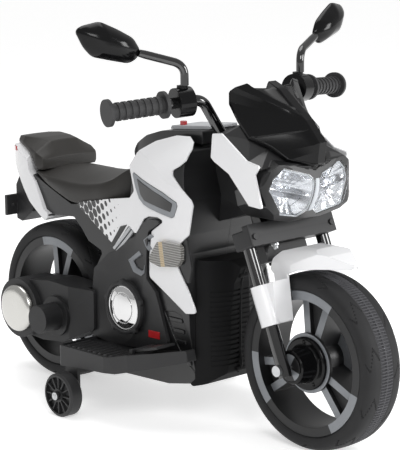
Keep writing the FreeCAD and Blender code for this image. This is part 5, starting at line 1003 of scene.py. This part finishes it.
NODE_FINISHES = (
    (halftone_white(), "side_panel_right side_panel_left"),
    (white_abs, "tail_cowl front_fender cowl_wings"),
    (smooth_pp, "body_shell_right body_shell_left headlamp_housing tank_cover"),
    (dull_pp, "radiator_block"),
    (gloss_black, "mirror_clamps"),
    (enamel_black, "fork_tubes handlebar"),
    (zinc_steel, "steering_stem front_axle rear_axle motor motor_pinion"),
    (silver_lacquer, "tank_trims"),
    (pale_grey_abs, "dash_panel"),
    (red_acrylic, "power_button tail_lamp"),
    (ribbed_lens(), "side_lamps"),
    (clear_lens, "headlamp_lens"),
    (grip_rubber, "grips"),
    (roller_pp, "training_wheel_right training_wheel_left"),
    (nylon_natural, "drive_gear idler_gear steering_bushes"),
    (battery_abs, "battery"),
    (lead_vinyl, "battery_lead"),
    (rim_lacquer("lacquer_silver_front_rim", FRONT_AXLE), "front_rim"),
    (rim_lacquer("lacquer_silver_rear_rim", REAR_AXLE), "rear_rim"),
)
# Nodes in no row, and those that a piece stands for, are grained black.
finish_of = {name: finish for finish, names in NODE_FINISHES for name in names.split()}
for node_name, shown in nodes.items():
    finish = finish_of.get(node_name, black_pp)
    slots = shown.data.materials
    if len(slots) == 0:
        slots.append(finish)
    for i in range(len(slots)):
        slots[i] = finish


# Camera at the photograph's angle

CAMERA_PLACE = Vector((2.325, -2.133, 0.927))
CAMERA_AZIMUTH = math.radians(46.99)
CAMERA_DROP = math.radians(10.83)
CAMERA_ROLL = math.radians(-0.58)
FOCAL_PIXELS = 1872.1
FRAME_PIXELS = 450
SENSOR_MM = 36.0

camera_data = bpy.data.cameras.new("camera")
camera_data.sensor_fit = 'AUTO'
camera_data.sensor_width = SENSOR_MM
camera_data.lens = SENSOR_MM * FOCAL_PIXELS / FRAME_PIXELS
camera_data.clip_end = 60.0
camera = bpy.data.objects.new("camera", camera_data)
scene.collection.objects.link(camera)
ahead = Vector((-math.sin(CAMERA_AZIMUTH) * math.cos(CAMERA_DROP),
                math.cos(CAMERA_AZIMUTH) * math.cos(CAMERA_DROP), -math.sin(CAMERA_DROP)))
right = ahead.cross(Vector((0, 0, 1))).normalized()
up = right.cross(ahead)
right_rolled = math.cos(CAMERA_ROLL) * right + math.sin(CAMERA_ROLL) * up
up_rolled = -math.sin(CAMERA_ROLL) * right + math.cos(CAMERA_ROLL) * up
turn = Matrix((right_rolled, up_rolled, -ahead)).transposed().to_4x4()
camera.matrix_world = Matrix.Translation(CAMERA_PLACE) @ turn
scene.camera = camera


# Stage: pale floor with a soft contact shadow, white studio and soft lamps

FLOOR_HALF, FLOOR_GLOW = 14.0, 0.5
STUDIO_LIGHT, BACKDROP_LIGHT = 0.5, 1.0


def direct_rays(tree):
    """The light path node, and a source that is 1 on rays from the camera or through glass."""
    path = add_node(tree, "ShaderNodeLightPath")
    return path, calc(tree, 'MAXIMUM', (path, "Is Camera Ray"), (path, "Is Transmission Ray"))


def floor_sheet():
    """Square sheet under the object."""
    mesh = bpy.data.meshes.new("floor")
    corners = [(x * FLOOR_HALF, y * FLOOR_HALF, 0) for x, y in ((-1, -1), (1, -1), (1, 1), (-1, 1))]
    mesh.from_pydata(corners, [], [(0, 1, 2, 3)])
    floor = bpy.data.objects.new("floor", mesh)
    scene.collection.objects.link(floor)
    # White studio paper, matte; it glows a little to the camera and in mirrors, so that it meets
    # the white backdrop.
    material, tree, shader = new_material(
        "studio_paper_white", {"Base Color": linear("#fafafa"), "Roughness": 0.9,
                               "Specular IOR Level": 0.1, "Emission Color": linear("#ffffff")})
    path, direct = direct_rays(tree)
    seen = calc(tree, 'MAXIMUM', direct, (path, "Is Glossy Ray"))
    feed(tree, calc(tree, 'MULTIPLY', seen, FLOOR_GLOW), shader, "Emission Strength")
    mesh.materials.append(material)


floor_sheet()

# Backdrop: full white to the camera, half as bright for lighting and reflections.
world = bpy.data.worlds.new("studio")
scene.world = world
world.use_nodes = True
sky = world.node_tree
background = sky.nodes["Background"]
level = add_node(sky, "ShaderNodeMix", {"data_type": 'FLOAT', 2: STUDIO_LIGHT, 3: BACKDROP_LIGHT},
                 {0: direct_rays(sky)[1]})
background.inputs["Color"].default_value = (1, 1, 1, 1)
feed(sky, (level, 0), background, "Strength")


def lamp(name, place, aim, size, power):
    """Square area lamp at place, turned to aim."""
    data = bpy.data.lights.new(name, 'AREA')
    data.size = size
    data.energy = power
    made = bpy.data.objects.new(name, data)
    made.location = place
    made.rotation_euler = (Vector(aim) - Vector(place)).to_track_quat('-Z', 'Y').to_euler()
    scene.collection.objects.link(made)


lamp("key", (2.8, -1.6, 2.3), (0, 0, 0.3), 1.4, 50)
lamp("fill", (2.7, 1.8, 1.2), (0.2, 0, 0.3), 1.1, 46)
lamp("top", (-0.6, 0.3, 3.0), (0, 0, 0.3), 2.0, 32)
